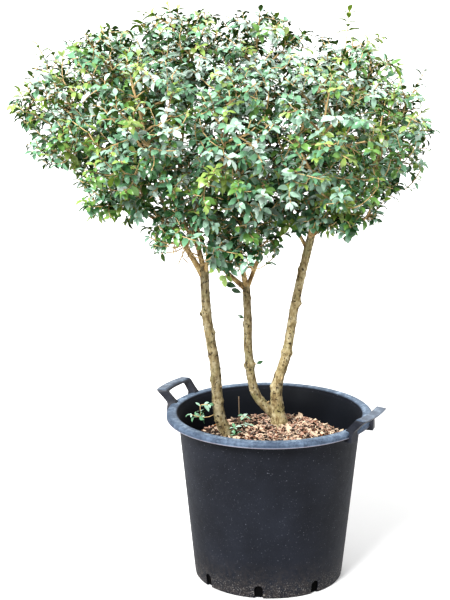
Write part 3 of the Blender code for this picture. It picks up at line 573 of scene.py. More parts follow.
def entry_point(bough):
    """Where a line from the last point of the bough's way to the mass's centre is well into the mass."""
    last = Vector(bough.way[-1])
    centre = Vector(MASSES[bough.mass].centre)
    for step in range(ENTRY_FIRST, ENTRY_STEPS):
        point = last.lerp(centre, step / ENTRY_STEPS)
        inside = in_space(bough.mass, point + UP * ENTRY_ROOM, ENTRY_MARGIN)
        if reach_share(bough.mass, point) < BOUGH_ENTERS and inside:
            return point
    return centre


def bough_limb(bough, parent):
    way = [point_along(parent, bough.share), *bough.way, entry_point(bough)]
    points = smooth_way(way, BOUGH_STEP)
    lengths = run_lengths(points)
    return Limb(way, points, [bough_radius(bough, length, lengths[-1]) for length in lengths])


def all_limbs():
    limbs = {name: stem_limb(stem) for name, stem in STEMS.items()}
    for name, bough in BOUGHS.items():
        limbs[name] = bough_limb(bough, limbs[bough.parent])
    return limbs


def even_share(index, base):
    """One of a row of shares of 1 that stay evenly spread however many are taken."""
    total, part = 0.0, 1.0
    while index:
        part /= base
        total += part * (index % base)
        index //= base
    return total


def twig_ends(name, tries):
    """The mass's shoots, then points spread evenly through its space, for the twigs to try in turn."""
    mass = MASSES[name]
    centre = Vector(mass.centre)
    leaf = LEAF_LENGTH * LEAF_PAST_TWIG
    ends = [tip - (tip - centre).normalized() * leaf for tip in map(Vector, mass.shoots)]
    furthest = 1 - leaf / (sum(mass.reach) / 3)
    for index in range(1, tries + 1):
        height = 2 * even_share(index, 2) - 1
        out = TWIG_DEEPEST + (furthest - TWIG_DEEPEST) * even_share(index, 5) ** 0.5
        way = on_circle(FULL_TURN * even_share(index, 3), math.sqrt(1 - height * height), height)
        point = Vector([c + r * w * out for c, r, w in zip(mass.centre, mass.reach, way)])
        if in_space(name, point):
            ends.append(point)
    return ends


def bent(place, way, end, bend, sag):
    """Joints on a curve that sets off along way and turns towards its end."""
    length = (end - place).length
    corner = place + way * length * bend - UP * length * sag
    count = max(2, round(length / JOINT_STEP))
    shares = [step / count for step in range(count + 1)]
    return [place * (1 - t) ** 2 + corner * 2 * t * (1 - t) + end * t * t for t in shares]


Twig = namedtuple("Twig", "points parent joint")


def grow(start, heading, ends, allowed, most):
    """At most so many twigs, that reach each end in turn. Each leaves the grown wood that costs least to reach
    it from, sets off along that wood's own direction and bends towards its end."""
    joints = [(start, heading, 0.0, None, 0)]
    twigs = []
    for end in ends:
        def cost(joint):
            leg = end - joint[0]
            length = leg.length or 1e-6
            return length * (1 + TURN_COST * (1 - leg.dot(joint[1]) / length)) + PATH_COST * joint[2]

        place, way, path, parent, index = min(joints[1:] or joints, key=cost)
        points = next(filter(allowed, (bent(place, way, end, *bend) for bend in TWIG_BENDS)), None)
        if not points:
            continue
        twigs.append(Twig(points, parent, index))
        if len(twigs) == most:
            break
        for index, (a, b) in enumerate(zip(points, points[1:]), 1):
            path += (b - a).length
            joints.append((b, (b - a).normalized(), path, len(twigs) - 1, index))
    return twigs


def mass_twigs(name, bough_name, limbs):
    """The twigs of one mass, which grow on from its bough's end."""
    bough = limbs[bough_name]
    heading = (bough.points[-1] - bough.points[-2]).normalized()
    start = bough.points[-1]
    others = [limb for other, limb in limbs.items() if other != bough_name]

    def is_free(point):
        if any(gap_to(limb, point) < LIMB_GAP for limb in others):
            return False
        if (point - start).dot(heading) > LIMB_GAP and (point - start).length < OWN_BOUGH_FREE:
            return True
        return gap_to(bough, point) > LIMB_GAP

    def twig_allowed(points):
        return all(in_space(name, point) and is_free(point) for point in points[1:])

    ends = twig_ends(name, TWIG_TRIES * TWIGS)
    ahead_most = max((end - start).dot(heading) for end in ends)
    ends.sort(key=lambda end: (end - start).dot(heading) < ahead_most)
    return grow(start, heading, ends, twig_allowed, TWIGS)


def twig_radii(twigs, foot_radius):
    """Each twig's radius at each joint, by what it carries further out. The first starts at foot_radius."""
    carried = [[1.0] * len(twig.points) for twig in twigs]
    for index in range(len(twigs) - 1, 0, -1):
        twig = twigs[index]
        if twig.parent is None:
            continue
        for joint in range(twig.joint + 1):
            carried[twig.parent][joint] += carried[index][0]
    radii = [[TWIG_TIP_RADIUS * load ** (1 / TWIG_BRANCHING) for load in loads] for loads in carried]
    most = radii[0][0]
    grown = max(foot_radius / most, 1.0)
    return [[r * (1 + (grown - 1) * (r / most) ** 2) for r in row] for row in radii]


def new_object(name, mesh):
    made = bpy.data.objects.new(name, mesh)
    bpy.context.scene.collection.objects.link(made)
    return made


def mesh_of(name, points, faces, looks, look_of=None, sharp=None):
    """A smooth mesh object, with one material for each look and look_of as each face's place among them."""
    mesh = bpy.data.meshes.new(name)
    mesh.from_pydata([tuple(point) for point in points], [], [tuple(face) for face in faces])
    for look in looks:
        mesh.materials.append(look)
    if look_of is not None:
        mesh.polygons.foreach_set("material_index", np.asarray(look_of, dtype=np.int32))
    mesh.shade_smooth()
    if sharp:
        mesh.set_sharp_from_angle(angle=math.radians(sharp))
    return new_object(name, mesh)


def rings_along(points, radii, sides, shape=None):
    """Rings of corners round a way, carried along without twisting. shape(corner) is a share of the radius."""
    ways = [(b - a).normalized() for a, b in zip(points, points[1:])]
    ways = [ways[0], *[(a + b).normalized() for a, b in zip(ways, ways[1:])], ways[-1]]
    across = ways[0].orthogonal().normalized()
    corners = []
    for index, (point, way, radius) in enumerate(zip(points, ways, radii)):
        if index:
            across = ways[index - 1].rotation_difference(way) @ across
        second = way.cross(across)
        for side in range(sides):
            turn = FULL_TURN * side / sides
            spoke = across * math.cos(turn) + second * math.sin(turn)
            corners.append(point + spoke * radius * (shape(point + spoke * radius) if shape else 1))
    return corners


def tube_faces(rings, sides, first=0):
    """Quads between the rings, and one face over each end, from corners that start at first."""
    faces = []
    for ring in range(rings - 1):
        low = first + ring * sides
        for side in range(sides):
            after = (side + 1) % sides
            faces.append((low + side, low + after, low + sides + after, low + sides + side))
    top = first + (rings - 1) * sides
    faces.append(tuple(range(first + sides - 1, first - 1, -1)))
    faces.append(tuple(range(top, top + sides)))
    return faces


def tubes_object(name, ways, radii, sides, look):
    """One object with a tube along each way, each with its row of radii."""
    corners, faces = [], []
    for way, row in zip(ways, radii):
        faces += tube_faces(len(way), sides, len(corners))
        corners += rings_along(way, row, sides)
    return mesh_of(name, corners, faces, [look])


def tapered(ends, count):
    """Radii that run evenly from the first of ends to the second."""
    return [ends[0] + (ends[1] - ends[0]) * index / (count - 1) for index in range(count)]


class Nodes:
    """Adds nodes to a tree. A value that one is given is a socket, a number, a vector or a colour."""

    def __init__(self, tree, shader):
        self.tree = tree
        self.shader = tree.nodes[shader]

    def give(self, node, values):
        """Give the node's inputs their values, by name or place."""
        for key, value in values.items():
            socket = node.inputs[key]
            if isinstance(value, bpy.types.NodeSocket):
                self.tree.links.new(value, socket)
            else:
                socket.default_value = (*value, 1.0) if socket.type == "RGBA" else value

    def add(self, kind, values, output, **settings):
        """The output of a new node."""
        node = self.tree.nodes.new(f"ShaderNode{kind}")
        for key, value in settings.items():
            setattr(node, key, value)
        self.give(node, values)
        return node.outputs[output]

    def noise(self, grain):
        """Noise in the object's own coordinates, which are metres."""
        place = self.add("TexCoord", {}, "Object")
        spread = self.add("Mapping", {"Vector": place, "Scale": grain.stretch}, "Vector")
        values = {"Scale": grain.scale, "Detail": grain.detail, "Roughness": grain.roughness}
        return self.add("TexNoise", {"Vector": spread, **values}, "Fac")

    def ramp(self, value, stops):
        """A colour ramp over value, from (place, colour) stops."""
        node = self.tree.nodes.new("ShaderNodeValToRGB")
        elements = node.color_ramp.elements
        while len(elements) < len(stops):
            elements.new(0.5)
        for element, (place, colour) in zip(elements, stops):
            element.position = place
            element.color = (*colour, 1.0)
        self.give(node, {"Fac": value})
        return node.outputs["Color"]

    def share(self, value, low, high, first=0.0, last=1.0):
        """first where value is at low or short of it, last where it is at high or past it."""
        values = {"Value": value, "From Min": low, "From Max": high, "To Min": first, "To Max": last}
        return self.add("MapRange", values, "Result")

    def mix(self, share, first, second):
        """first turned into second by share."""
        return self.add("Mix", {0: share, 6: first, 7: second}, 2, data_type="RGBA")

    def reckon(self, operation, *values):
        return self.add("Math", dict(enumerate(values)), 0, operation=operation)

    def product(self, first, *others):
        for other in others:
            first = self.reckon("MULTIPLY", first, other)
        return first

    def paint(self, base, colour, pattern, *shares):
        """base with the colour over it, where the pattern and all the shares are high."""
        share = self.share(self.noise(pattern.grain), pattern.low, pattern.high)
        return self.mix(self.product(share, pattern.most, *shares), base, colour)

    def height(self, coordinates="Object"):
        """The z coordinate."""
        place = self.add("TexCoord", {}, coordinates)
        return self.add("SeparateXYZ", {"Vector": place}, "Z")

    def radius(self):
        """The distance from the container's axis."""
        place = self.add("TexCoord", {}, "Object")
        flat = self.add("VectorMath", {0: place, 1: (1.0, 1.0, 0.0)}, 0, operation="MULTIPLY")
        return self.add("VectorMath", {0: flat}, "Value", operation="LENGTH")

    def surface(self, colour, roughness, specular):
        values = {"Base Color": colour, "Roughness": roughness, "Specular IOR Level": specular}
        self.give(self.shader, values)

    def bump(self, height, strength, distance):
        values = {"Height": height, "Strength": strength, "Distance": distance}
        self.give(self.shader, {"Normal": self.add("Bump", values, "Normal")})


def new_look(name):
    """A new material, and its nodes."""
    made = bpy.data.materials.new(name)
    made.use_nodes = True
    return made, Nodes(made.node_tree, "Principled BSDF")


def plain(name, colour, roughness, specular=0.5):
    made, look = new_look(name)
    look.surface(colour, roughness, specular)
    return made


def pot_plastic():
    """Matte black plastic, speckled, scuffed and dusty at the foot, darker on its inner wall as painted shade,
    with a bluish lip whose top is painted pale as sky reflection over some dust.
    """
    made, look = new_look("pot_plastic")
    z = look.height()
    radius = look.radius()
    body = look.ramp(look.noise(PLASTIC_CLOUD), PLASTIC)
    body = look.paint(body, SPECK, SPECKS)
    body = look.paint(body, SCUFF, SCUFFS)
    body = look.paint(body, GRIME, FOOT_GRIME, look.share(z, 0.11, 0.0))
    body = look.paint(body, GRIT, FOOT_GRIT, look.share(z, 0.060, 0.015))
    # Darker on the inner wall, as painted shade inside the container
    slope = (POT_MOUTH_RADIUS - POT_FOOT_RADIUS) / POT_HEIGHT
    depth = look.reckon("SUBTRACT", look.reckon("MULTIPLY_ADD", z, slope, POT_FOOT_RADIUS), radius)
    body = look.mix(look.share(depth, 0.0008, 0.0024), body, INSIDE_SHADE)

    # On the lip's flat top a paler tint, painted sky reflection over some dust, palest along its middle and
    # darker towards its edges as painted shade of the rounded lip
    wear_and_sheen = look.noise(LIP_WEAR_AND_SHEEN)
    upper = look.share(z, POT_HEIGHT - 0.0055, POT_HEIGHT - 0.0010)
    from_mouth = look.share(radius, POT_MOUTH_RADIUS + 0.0020, POT_MOUTH_RADIUS + 0.0090)
    from_edge = look.share(radius, LIP_RADIUS - 0.0030, LIP_RADIUS - 0.0110)
    top_sheen = look.product(upper, from_mouth, from_edge)
    lip = look.mix(top_sheen, look.ramp(wear_and_sheen, LIP_SIDE), look.ramp(wear_and_sheen, LIP_TOP_DUST_AND_SHEEN))
    lip = look.paint(lip, LIP_DARK, LIP_STRETCHES)
    rim_line = look.share(z, LIP_FOOT + 0.0030, LIP_FOOT + 0.0014)
    lip = look.mix(look.product(rim_line, 0.7), lip, RIM_LINE)

    past_wall = look.share(radius, POT_MOUTH_RADIUS + 0.0015, POT_MOUTH_RADIUS + 0.0045)
    over_foot = look.share(z, LIP_FOOT - 0.0010, LIP_FOOT - 0.0002)
    colour = look.mix(look.product(past_wall, over_foot), body, lip)
    look.surface(colour, look.share(wear_and_sheen, 0.0, 1.0, *PLASTIC_ROUGHNESS), 0.16)
    look.bump(look.noise(PLASTIC_BUMPS), 0.25, 0.0006)
    return made


def grip_plastic():
    """The grips' plastic: bluish and painted pale on the strap's upper side as sky reflection, near black
    elsewhere.
    """
    made, look = new_look("grip_plastic")
    cloud = look.noise(GRIP_CLOUD)
    top = POT_HEIGHT + GRIP_RISE
    # Painted sheen: the strap's upper side paler, as sky reflection
    upper = look.share(look.height(), top - 0.0030, top - 0.0008)
    look.surface(look.mix(upper, look.ramp(cloud, GRIP_DARK), look.ramp(cloud, GRIP_SHEEN)), 0.5, 0.25)
    look.bump(look.noise(GRIP_BUMPS), 0.2, 0.0005)
    return made


def bark(name, tones, pits, shade=1.0):
    """Bark mottled from pale to deep, with scars, dark pits and, given a fifth tone, a greenish film. All its
    tones are scaled by shade, which is painted shade.
    """
    made, look = new_look(name)
    pale, tan, deep, pit, *film = [tuple(part * shade for part in tone) for tone in tones]
    colour = look.ramp(look.noise(BARK_MOTTLE), list(zip(BARK_STOPS, (deep, tan, pale))))
    if film:
        colour = look.paint(colour, film[0], FILM)
    colour = look.paint(colour, tuple(part * SCAR_SHADE for part in deep), SCARS)
    colour = look.paint(colour, pit, Pattern(BARK_PITS, pits, pits + PIT_EDGE))
    look.surface(colour, 0.82, 0.3)
    look.bump(look.noise(BARK_BUMPS), 1.0, 0.0040)
    return made


def earth():
    """Dark earth with pale flecks, painted black as shade where it is under the soil's edge."""
    made, look = new_look("earth")
    grain = look.noise(EARTH_CLODS)
    colour = look.paint(look.ramp(grain, EARTH), FLECK, FLECKS)
    # Painted shade: near black below the soil's edge, inside the container
    shaded_below = look.share(look.height(), SOIL_EDGE - 0.010, SOIL_EDGE - 0.030)
    look.surface(look.mix(shaded_below, colour, BURIED_SHADE), 0.95, 0.05)
    look.bump(grain, 0.8, 0.003)
    return made


def leaf_looks():
    looks = [plain(f"leaf_{name}", colour, roughness, 0.6) for name, (colour, roughness) in TINTS.items()]
    return looks + [plain(f"leaf_{name}", colour, 0.6, 0.3) for name, colour in UNDERSIDES.items()]


def pot_profile():
    """From the axis under the floor, up the outside, over the lip and down the inside."""

    def wall(height):
        return POT_FOOT_RADIUS + (POT_MOUTH_RADIUS - POT_FOOT_RADIUS) * height / POT_HEIGHT

    def corner(radius, height, size, first, steps):
        """A rounded corner about (radius, height), from the angle first through a quarter turn."""
        turns = [first + math.pi / 2 * step / steps for step in range(steps + 1)]
        return [(radius + size * math.cos(turn), height + size * math.sin(turn)) for turn in turns]

    foot = corner(POT_FOOT_RADIUS - FOOT_ROUND, FOOT_ROUND, FOOT_ROUND, -math.pi / 2, 4)
    side = [(wall(h), h) for h in (*OUTER_HEIGHTS, LIP_FOOT - 0.004)]
    under = [(wall(LIP_FOOT) + out, LIP_FOOT + up) for out, up in LIP_UNDERSIDE]
    skirt = [(LIP_RADIUS + out, LIP_FOOT + up) for out, up in LIP_SKIRT]
    round_height = POT_HEIGHT - LIP_ROUND - LIP_CROWN
    outer = corner(LIP_RADIUS - LIP_ROUND, round_height, LIP_ROUND, 0.0, 6)
    crown = ((LIP_RADIUS + POT_MOUTH_RADIUS) / 2, POT_HEIGHT)
    inner = corner(POT_MOUTH_RADIUS + LIP_ROUND, round_height, LIP_ROUND, math.pi / 2, 6)
    down = [(wall(h) - POT_WALL, h) for h in (*INNER_HEIGHTS, POT_FLOOR)]
    return [(0, 0), *foot, *side, *under, *skirt, *outer, crown, *inner, *down, (0, POT_FLOOR)]


def turned(profile, name, look, sides):
    """A solid of revolution from (radius, height) points that start and end on the axis."""
    points, faces, rings = [], [], []
    for radius, height in profile:
        count = sides if radius else 1
        rings.append(list(range(len(points), len(points) + count)))
        points += [on_circle(FULL_TURN * side / sides, radius, height) for side in range(count)]
    for low, high in zip(rings, rings[1:]):
        for side in range(sides):
            after = (side + 1) % sides
            if len(low) == 1:
                faces.append((low[0], high[after], high[side]))
            elif len(high) == 1:
                faces.append((low[side], low[after], high[0]))
            else:
                faces.append((low[side], low[after], high[after], high[side]))
    return mesh_of(name, points, faces, [look], sharp=POT_CREASE)


def notch_cutter(angle, name):
    """An arch-topped block that stands across the wall's foot."""
    half = NOTCH_WIDTH / 2
    outline = [(-half, -NOTCH_BELOW), (half, -NOTCH_BELOW)]
    for step in range(NOTCH_ARCH_STEPS + 1):
        turn = math.pi * step / NOTCH_ARCH_STEPS
        outline.append((half * math.cos(turn), NOTCH_HEIGHT - half + half * math.sin(turn)))
    out = Vector(on_circle(angle))
    beside = Vector((-math.sin(angle), math.cos(angle), 0))
    near = POT_FOOT_RADIUS - POT_WALL - NOTCH_INSIDE
    points = [
        out * radius + beside * across + UP * height
        for radius in (near, near + NOTCH_LENGTH)
        for across, height in outline
    ]
    return mesh_of(name, points, tube_faces(2, len(outline)), [])


def make_pot(look):
    pot = turned(pot_profile(), "container", look, POT_SIDES)
    cutters = bpy.data.collections.new("notches")
    bpy.context.scene.collection.children.link(cutters)
    for notch in range(NOTCHES):
        cutter = notch_cutter(NOTCH_FIRST + FULL_TURN * notch / NOTCHES, f"notch_{notch}")
        bpy.context.scene.collection.objects.unlink(cutter)
        cutters.objects.link(cutter)
    step = pot.modifiers.new("cut", "BOOLEAN")
    step.operation = "DIFFERENCE"
    step.solver = "EXACT"
    step.operand_type = "COLLECTION"
    step.collection = cutters
    bpy.context.view_layer.update()
    cut = bpy.data.meshes.new_from_object(pot.evaluated_get(bpy.context.evaluated_depsgraph_get()))
    pot.modifiers.clear()
    pot.data = cut
    cut.set_sharp_from_angle(angle=math.radians(POT_CREASE))
    for cutter in list(cutters.objects):
        bpy.data.objects.remove(cutter, do_unlink=True)
    bpy.data.collections.remove(cutters)
    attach(pot, "root")
    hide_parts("pot")


def grip_stations():
    """(outer point, inner point) pairs along the strap from foot to foot, each point (sideways, height)."""
    side = GRIP_HALF_WIDTH
    inner_side = side - GRIP_ARM
    top = GRIP_RISE
    under = top - GRIP_THICKNESS
    foot_out = side + GRIP_FOOT_SPREAD
    foot_in = inner_side - GRIP_FOOT_SPREAD / 2
    half = [
        ((foot_out, -GRIP_FOOT_DROP), (foot_in, -GRIP_FOOT_DROP)),
        ((foot_out - GRIP_EASE, -GRIP_FOOT_DROP / 2), (foot_in, -GRIP_FOOT_DROP / 2)),
        ((side + GRIP_EASE, GRIP_EASE), (foot_in + GRIP_EASE, 0.0)),
        ((side, GRIP_WAIST), (inner_side, GRIP_WAIST - GRIP_EASE)),
        ((side, top - GRIP_CORNER), (inner_side, under - GRIP_CORNER / 3)),
        ((side - GRIP_CORNER / 3, top - GRIP_CORNER / 3), (inner_side - GRIP_EASE, under - GRIP_EASE / 2)),
        ((side - GRIP_CORNER, top), (inner_side - GRIP_CORNER / 2, under)),
        ((side / 2, top), (side / 2, under)),
    ]
    middle = [((0.0, top), (0.0, under))]
    other = [((-out[0], out[1]), (-inner[0], inner[1])) for out, inner in reversed(half)]
    return half + middle + other


def make_grip(name, angle, look):
    """A strap bent round the mouth and leaning outwards, with rounded edges."""

    def placed(point, across):
        sideways, height = point
        share = max(0.0, height) / GRIP_RISE
        radius = GRIP_FOOT_RADIUS + GRIP_LEAN * share + across
        tilted = POT_HEIGHT + height - GRIP_TILT * across * share
        return on_circle(angle + sideways / LIP_RADIUS, radius, tilted)

    def between(a, b, t):
        return tuple(first + (second - first) * t for first, second in zip(a, b))

    half = GRIP_STRAP / 2
    stations = grip_stations()
    fine = [
        (between(out_a, out_b, part / GRIP_STEPS), between(in_a, in_b, part / GRIP_STEPS))
        for (out_a, in_a), (out_b, in_b) in zip(stations, stations[1:])
        for part in range(GRIP_STEPS)
    ]
    fine.append(stations[-1])
    points = []
    for out, inner in fine:
        points += [placed(out, -half), placed(out, half), placed(inner, half), placed(inner, -half)]
    grip = mesh_of(f"{name}_strap", points, tube_faces(len(fine), 4), [look])
    edge = grip.modifiers.new("edges", "BEVEL")
    edge.width = GRIP_EDGE
    edge.segments = 3
    edge.limit_method = "ANGLE"
    edge.angle_limit = math.radians(GRIP_ROUNDED)
    grip.data.set_sharp_from_angle(angle=math.radians(GRIP_CREASE))
    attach(grip, "root")
    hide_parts(name)


def heaped(x, y):
    """1 where the bark chips are heaped highest, 0 far from it."""
    across = (x - HEAP_AT[0]) / HEAP_REACH[0]
    deep = (y - HEAP_AT[1]) / HEAP_REACH[1]
    return math.exp(-across * across - deep * deep)


def soil_height(x, y):
    """The earth's surface: a heap of bark to the right of the middle, with clods and crumbs over it."""
    clods = CLODS[1] * noise.noise(Vector((x * CLODS[0], y * CLODS[0], 0.3)))
    crumbs = CRUMBS[1] * noise.noise(Vector((x * CRUMBS[0], y * CRUMBS[0], 4.7)))
    slope = clamp((math.hypot(x, y) - SOIL_FLAT) / (SOIL_RADIUS - SOIL_FLAT))
    return SOIL_TOP - (SOIL_TOP - SOIL_EDGE) * slope + SOIL_COVER + HEAP_RISE * heaped(x, y) + clods + crumbs


def make_earth(look):
    """A round sheet of clods and crumbs that covers the soil's flat top, with its edge turned down to it."""
    points = [(0.0, 0.0, soil_height(0.0, 0.0))]
    for ring in range(1, SOIL_RINGS + 1):
        for side in range(SOIL_SIDES):
            x, y, _ = on_circle(FULL_TURN * side / SOIL_SIDES, SOIL_RADIUS * ring / SOIL_RINGS)
            points.append((x, y, soil_height(x, y)))
    points += [(x, y, SOIL_EDGE + SOIL_LIFT) for x, y, _ in points[-SOIL_SIDES:]]
    faces = []
    for side in range(SOIL_SIDES):
        after = (side + 1) % SOIL_SIDES
        faces.append((0, 1 + side, 1 + after))
        for ring in range(SOIL_RINGS):
            low = 1 + ring * SOIL_SIDES
            faces.append((low + side, low + SOIL_SIDES + side, low + SOIL_SIDES + after, low + after))
    first = len(points) - SOIL_SIDES
    faces.append(tuple(range(len(points) - 1, first - 1, -1)))
    piece = mesh_of("earth_surface", points, faces, [look], sharp=SOIL_CREASE)
    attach(piece, "root")


def chip_corners(place, size, chance):
    """An irregular flat flake of bark: two rings of corners round its middle."""
    length, breadth, thickness = size
    outline = []
    for side in range(CHIP_SIDES):
        turn = FULL_TURN * (side + chance.uniform(-CHIP_TURN_STRAY, CHIP_TURN_STRAY)) / CHIP_SIDES
        out = chance.uniform(*CHIP_OUTS)
        outline.append((length / 2 * math.cos(turn) * out, breadth / 2 * math.sin(turn) * out))
    tilt = Quaternion((1, 0, 0), chance.normal(0.0, CHIP_TILTS[0]))
    tilt = tilt @ Quaternion((0, 1, 0), chance.normal(0.0, CHIP_TILTS[1]))
    tilt = Quaternion(UP, chance.uniform(0, FULL_TURN)) @ tilt
    corners = []
    for height, share in ((-thickness / 2, CHIP_BEVEL), (thickness / 2, 1.0)):
        corners += [place + tilt @ Vector((x * share, y * share, height)) for x, y in outline]
    return corners


def make_chips(chance):
    """Bark chips strewn over the earth, closest where they are heaped."""
    looks = [plain(name, colour, 0.9, 0.25) for name, colour in CHIP_TINTS.items()]
    corners, faces, look_of = [], [], []
    laid = 0
    while laid < CHIPS:
        radius = (SOIL_RADIUS - CHIPS_FROM_WALL) * math.sqrt(chance.uniform())
        x, y, _ = on_circle(chance.uniform(0, FULL_TURN), radius)
        heap = heaped(x, y)
        if chance.uniform() > CHIPS_STREWN + (1 - CHIPS_STREWN) * heap:
            continue
        laid += 1
        sliver = chance.uniform() < CHIP_SLIVERS
        length = chance.uniform(*(SLIVER_LENGTHS if sliver else CHIP_LENGTHS))
        size = (length, length * chance.uniform(*CHIP_BREADTHS), chance.uniform(*CHIP_THICKNESSES))
        layer = chance.uniform(0.0, CHIP_PILE) * (CHIP_PILE_LEAST + heap)
        chip = tube_faces(2, CHIP_SIDES, len(corners))
        corners += chip_corners(Vector((x, y, soil_height(x, y) + CHIP_LIFT + layer)), size, chance)
        faces += chip
        look_of += [SLIVER_TINT if sliver else int(chance.choice(len(looks), p=CHIP_SHARES))] * len(chip)
    chips = mesh_of("bark_chips", corners, faces, looks, look_of)
    chips.data.shade_flat()
    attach(chips, "root")


def make_floor():
    bpy.ops.mesh.primitive_plane_add(size=FLOOR_SIZE)
    floor = bpy.context.object
    floor.name = "studio_floor"
    floor.data.materials.append(plain("studio_white", FLOOR_COLOUR, 0.9, 0.0))


def make_camera():
    camera = new_object("camera", bpy.data.cameras.new("camera"))
    camera.location = CAMERA_PLACE
    camera.rotation_euler = (math.pi / 2 - CAMERA_DOWN, 0, CAMERA_TURN)
    camera.data.sensor_fit = "VERTICAL"
    camera.data.sensor_height = SENSOR
    camera.data.lens = LENS
    camera.data.clip_end = 300
    bpy.context.scene.camera = camera


def make_light():
    """A pale sky, brighter overhead, and soft suns whose rays travel along their headings."""
    bpy.context.scene.view_settings.view_transform = "Standard"
    bpy.context.scene.view_settings.look = "Medium High Contrast"
    world = bpy.data.worlds.new("studio")
    bpy.context.scene.world = world
    world.use_nodes = True
    sky = Nodes(world.node_tree, "Background")
    strength = sky.share(sky.height("Generated"), 0.0, 1.0, *SKY)
    sky.give(sky.shader, {"Color": (1.0, 1.0, 1.0), "Strength": strength})
    for name, (heading, energy, spread) in SUNS.items():
        light = new_object(name, bpy.data.lights.new(name, "SUN"))
        light.data.energy = energy
        light.data.angle = math.radians(spread)
        light.rotation_euler = Vector(heading).to_track_quat("-Z", "Y").to_euler()


def knot_place(points, radii, height, side, size):
    """The middle of a knot on a limb's surface, at a height and on a side, and its size."""
    index = min(range(len(points)), key=lambda i: abs(points[i].z - height))
    return points[index] + Vector(on_circle(math.radians(side))) * radii[index], size


def limb_piece(name, limb, radius_at, look, sides, step, slot, foot=0.0):
    """The limb as a mesh with its bark's swellings, knots and rounded end, from foot metres back."""
    points = smooth_way(limb.way, step)
    if foot:
        points.insert(0, points[0] + (points[0] - points[1]).normalized() * foot)
    lengths = run_lengths(points)
    radii = [radius_at(max(0.0, length - foot), lengths[-1] - foot) for length in lengths]
    end, end_radius = points[-1], radii[-1]
    end_way = (end - points[-2]).normalized()
    for share in ROUND_END:
        points.append(end + end_way * end_radius * share)
        radii.append(end_radius * math.sqrt(1 - share * share))

    knots = [knot_place(points, radii, *knot[1:]) for knot in KNOTS if knot[0] == name]

    def shape(point):
        swelling = noise.noise(point * SWELLINGS[0]) * SWELLINGS[1]
        ripple = noise.noise(point * RIPPLES[0]) * RIPPLES[1]
        wart = max(0.0, noise.noise(point * WARTS[0]) - WARTS_FROM) * WARTS[1]
        knot = sum(size * math.exp(-((point - place).length / KNOT_REACH) ** 2) for place, size in knots)
        return 1 + swelling + ripple + wart + knot

    corners = rings_along(points, radii, sides, shape)
    piece = mesh_of(f"{name}_bark", corners, tube_faces(len(points), sides), [look])
    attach(piece, "root")
    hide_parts(name)


def make_wood(limbs, bough_look):
    for name, stem in STEMS.items():
        def radius_at(length, whole, stem=stem):
            return stem_radius(stem, length, whole)

        # Each stem's bark is darkened by its own share, as painted shade
        look = bark(f"{name}_bark", STEM_TONES, STEM_PITS, STEM_PAINTED_SHADES[name])
        foot = STEM_BURIED if stem.radius[2] else 0.0
        limb_piece(name, limbs[name], radius_at, look, *STEM_MESH, "stem_bark", foot)
    for name, bough in BOUGHS.items():
        def radius_at(length, whole, bough=bough):
            flare = BOUGH_FLARE * math.exp(-length / BOUGH_FLARE_LENGTH)
            return bough_radius(bough, length, whole) + bough.radius * flare

        limb_piece(name, limbs[name], radius_at, bough_look, *BOUGH_MESH, "young_bark")


def leaf_triangles():
    """A leaf's triangles, the upper side's first, and how many those are. Its corners are 0 at the foot, 1 at the
    tip, then the left rim, right rim, upper midrib and lower midrib."""
    rows = len(LEAF_SHAPE)
    left, right, top, under = (2 + rows * part for part in range(4))
    upper, lower = [], []
    for row in range(rows - 1):
        upper += [(top + row, top + row + 1, left + row + 1), (top + row, left + row + 1, left + row)]
        upper += [(top + row, right + row, right + row + 1), (top + row, right + row + 1, top + row + 1)]
        lower += [(under + row, left + row, left + row + 1), (under + row, left + row + 1, under + row + 1)]
        lower += [(under + row, under + row + 1, right + row + 1)]
        lower += [(under + row, right + row + 1, right + row)]
    last = rows - 1
    upper += [(0, top, left), (0, right, top)]
    upper += [(top + last, 1, left + last), (top + last, right + last, 1)]
    lower += [(0, left, under), (0, under, right)]
    lower += [(under + last, left + last, 1), (under + last, 1, right + last)]
    return np.array(upper + lower), len(upper)


Seat = namedtuple("Seat", "root way face size tint")


def leaf_corners(seats, chance):
    """Every leaf's corners, folded along the midrib, arched back and slightly wavy, as one array."""
    count = len(seats)
    root, way, face = (np.array([seat[part] for seat in seats]) for part in range(3))
    across = np.cross(face, way)
    size = np.array([seat.size for seat in seats])
    length = LEAF_LENGTH * size
    half = LEAF_WIDTH / 2 * size * chance.uniform(*LEAF_WIDTHS, count)
    arch = chance.uniform(*LEAF_ARCHES, count)
    fold = chance.uniform(*LEAF_FOLDS, count)
    wave = chance.uniform(*LEAF_WAVES, count)
    phase = chance.uniform(0.0, FULL_TURN, count)
    twist = chance.normal(0.0, LEAF_TWIST, count)

    def place(along, width, side):
        """A point at a share along the leaf, at a share of its width to one side."""
        turn = arch * along
        y = half * width * side
        lift = np.abs(y) * (fold + wave * np.sin(LEAF_WAVE_RUN * along + phase + side)) + y * twist * along
        x = length * np.sin(turn) / arch + lift * np.sin(turn)
        z = -length * (1 - np.cos(turn)) / arch + lift * np.cos(turn)
        return root + way * x[:, None] + across * y[:, None] + face * z[:, None]

    def under(along):
        """A point of the lower midrib, under the upper one."""
        turn = (arch * along)[:, None]
        drop = (LEAF_MIDRIB * size)[:, None]
        return place(along, 0.0, 0) - (way * np.sin(turn) + face * np.cos(turn)) * drop

    columns = [place(0.0, 0.0, 0), place(1.0, 0.0, 0)]
    columns += [place(along, width, 1) for along, width in LEAF_SHAPE]
    columns += [place(along, width, -1) for along, width in LEAF_SHAPE]
    columns += [place(along, 0.0, 0) for along, width in LEAF_SHAPE]
    columns += [under(along) for along, width in LEAF_SHAPE]
    return np.stack(columns, axis=1)


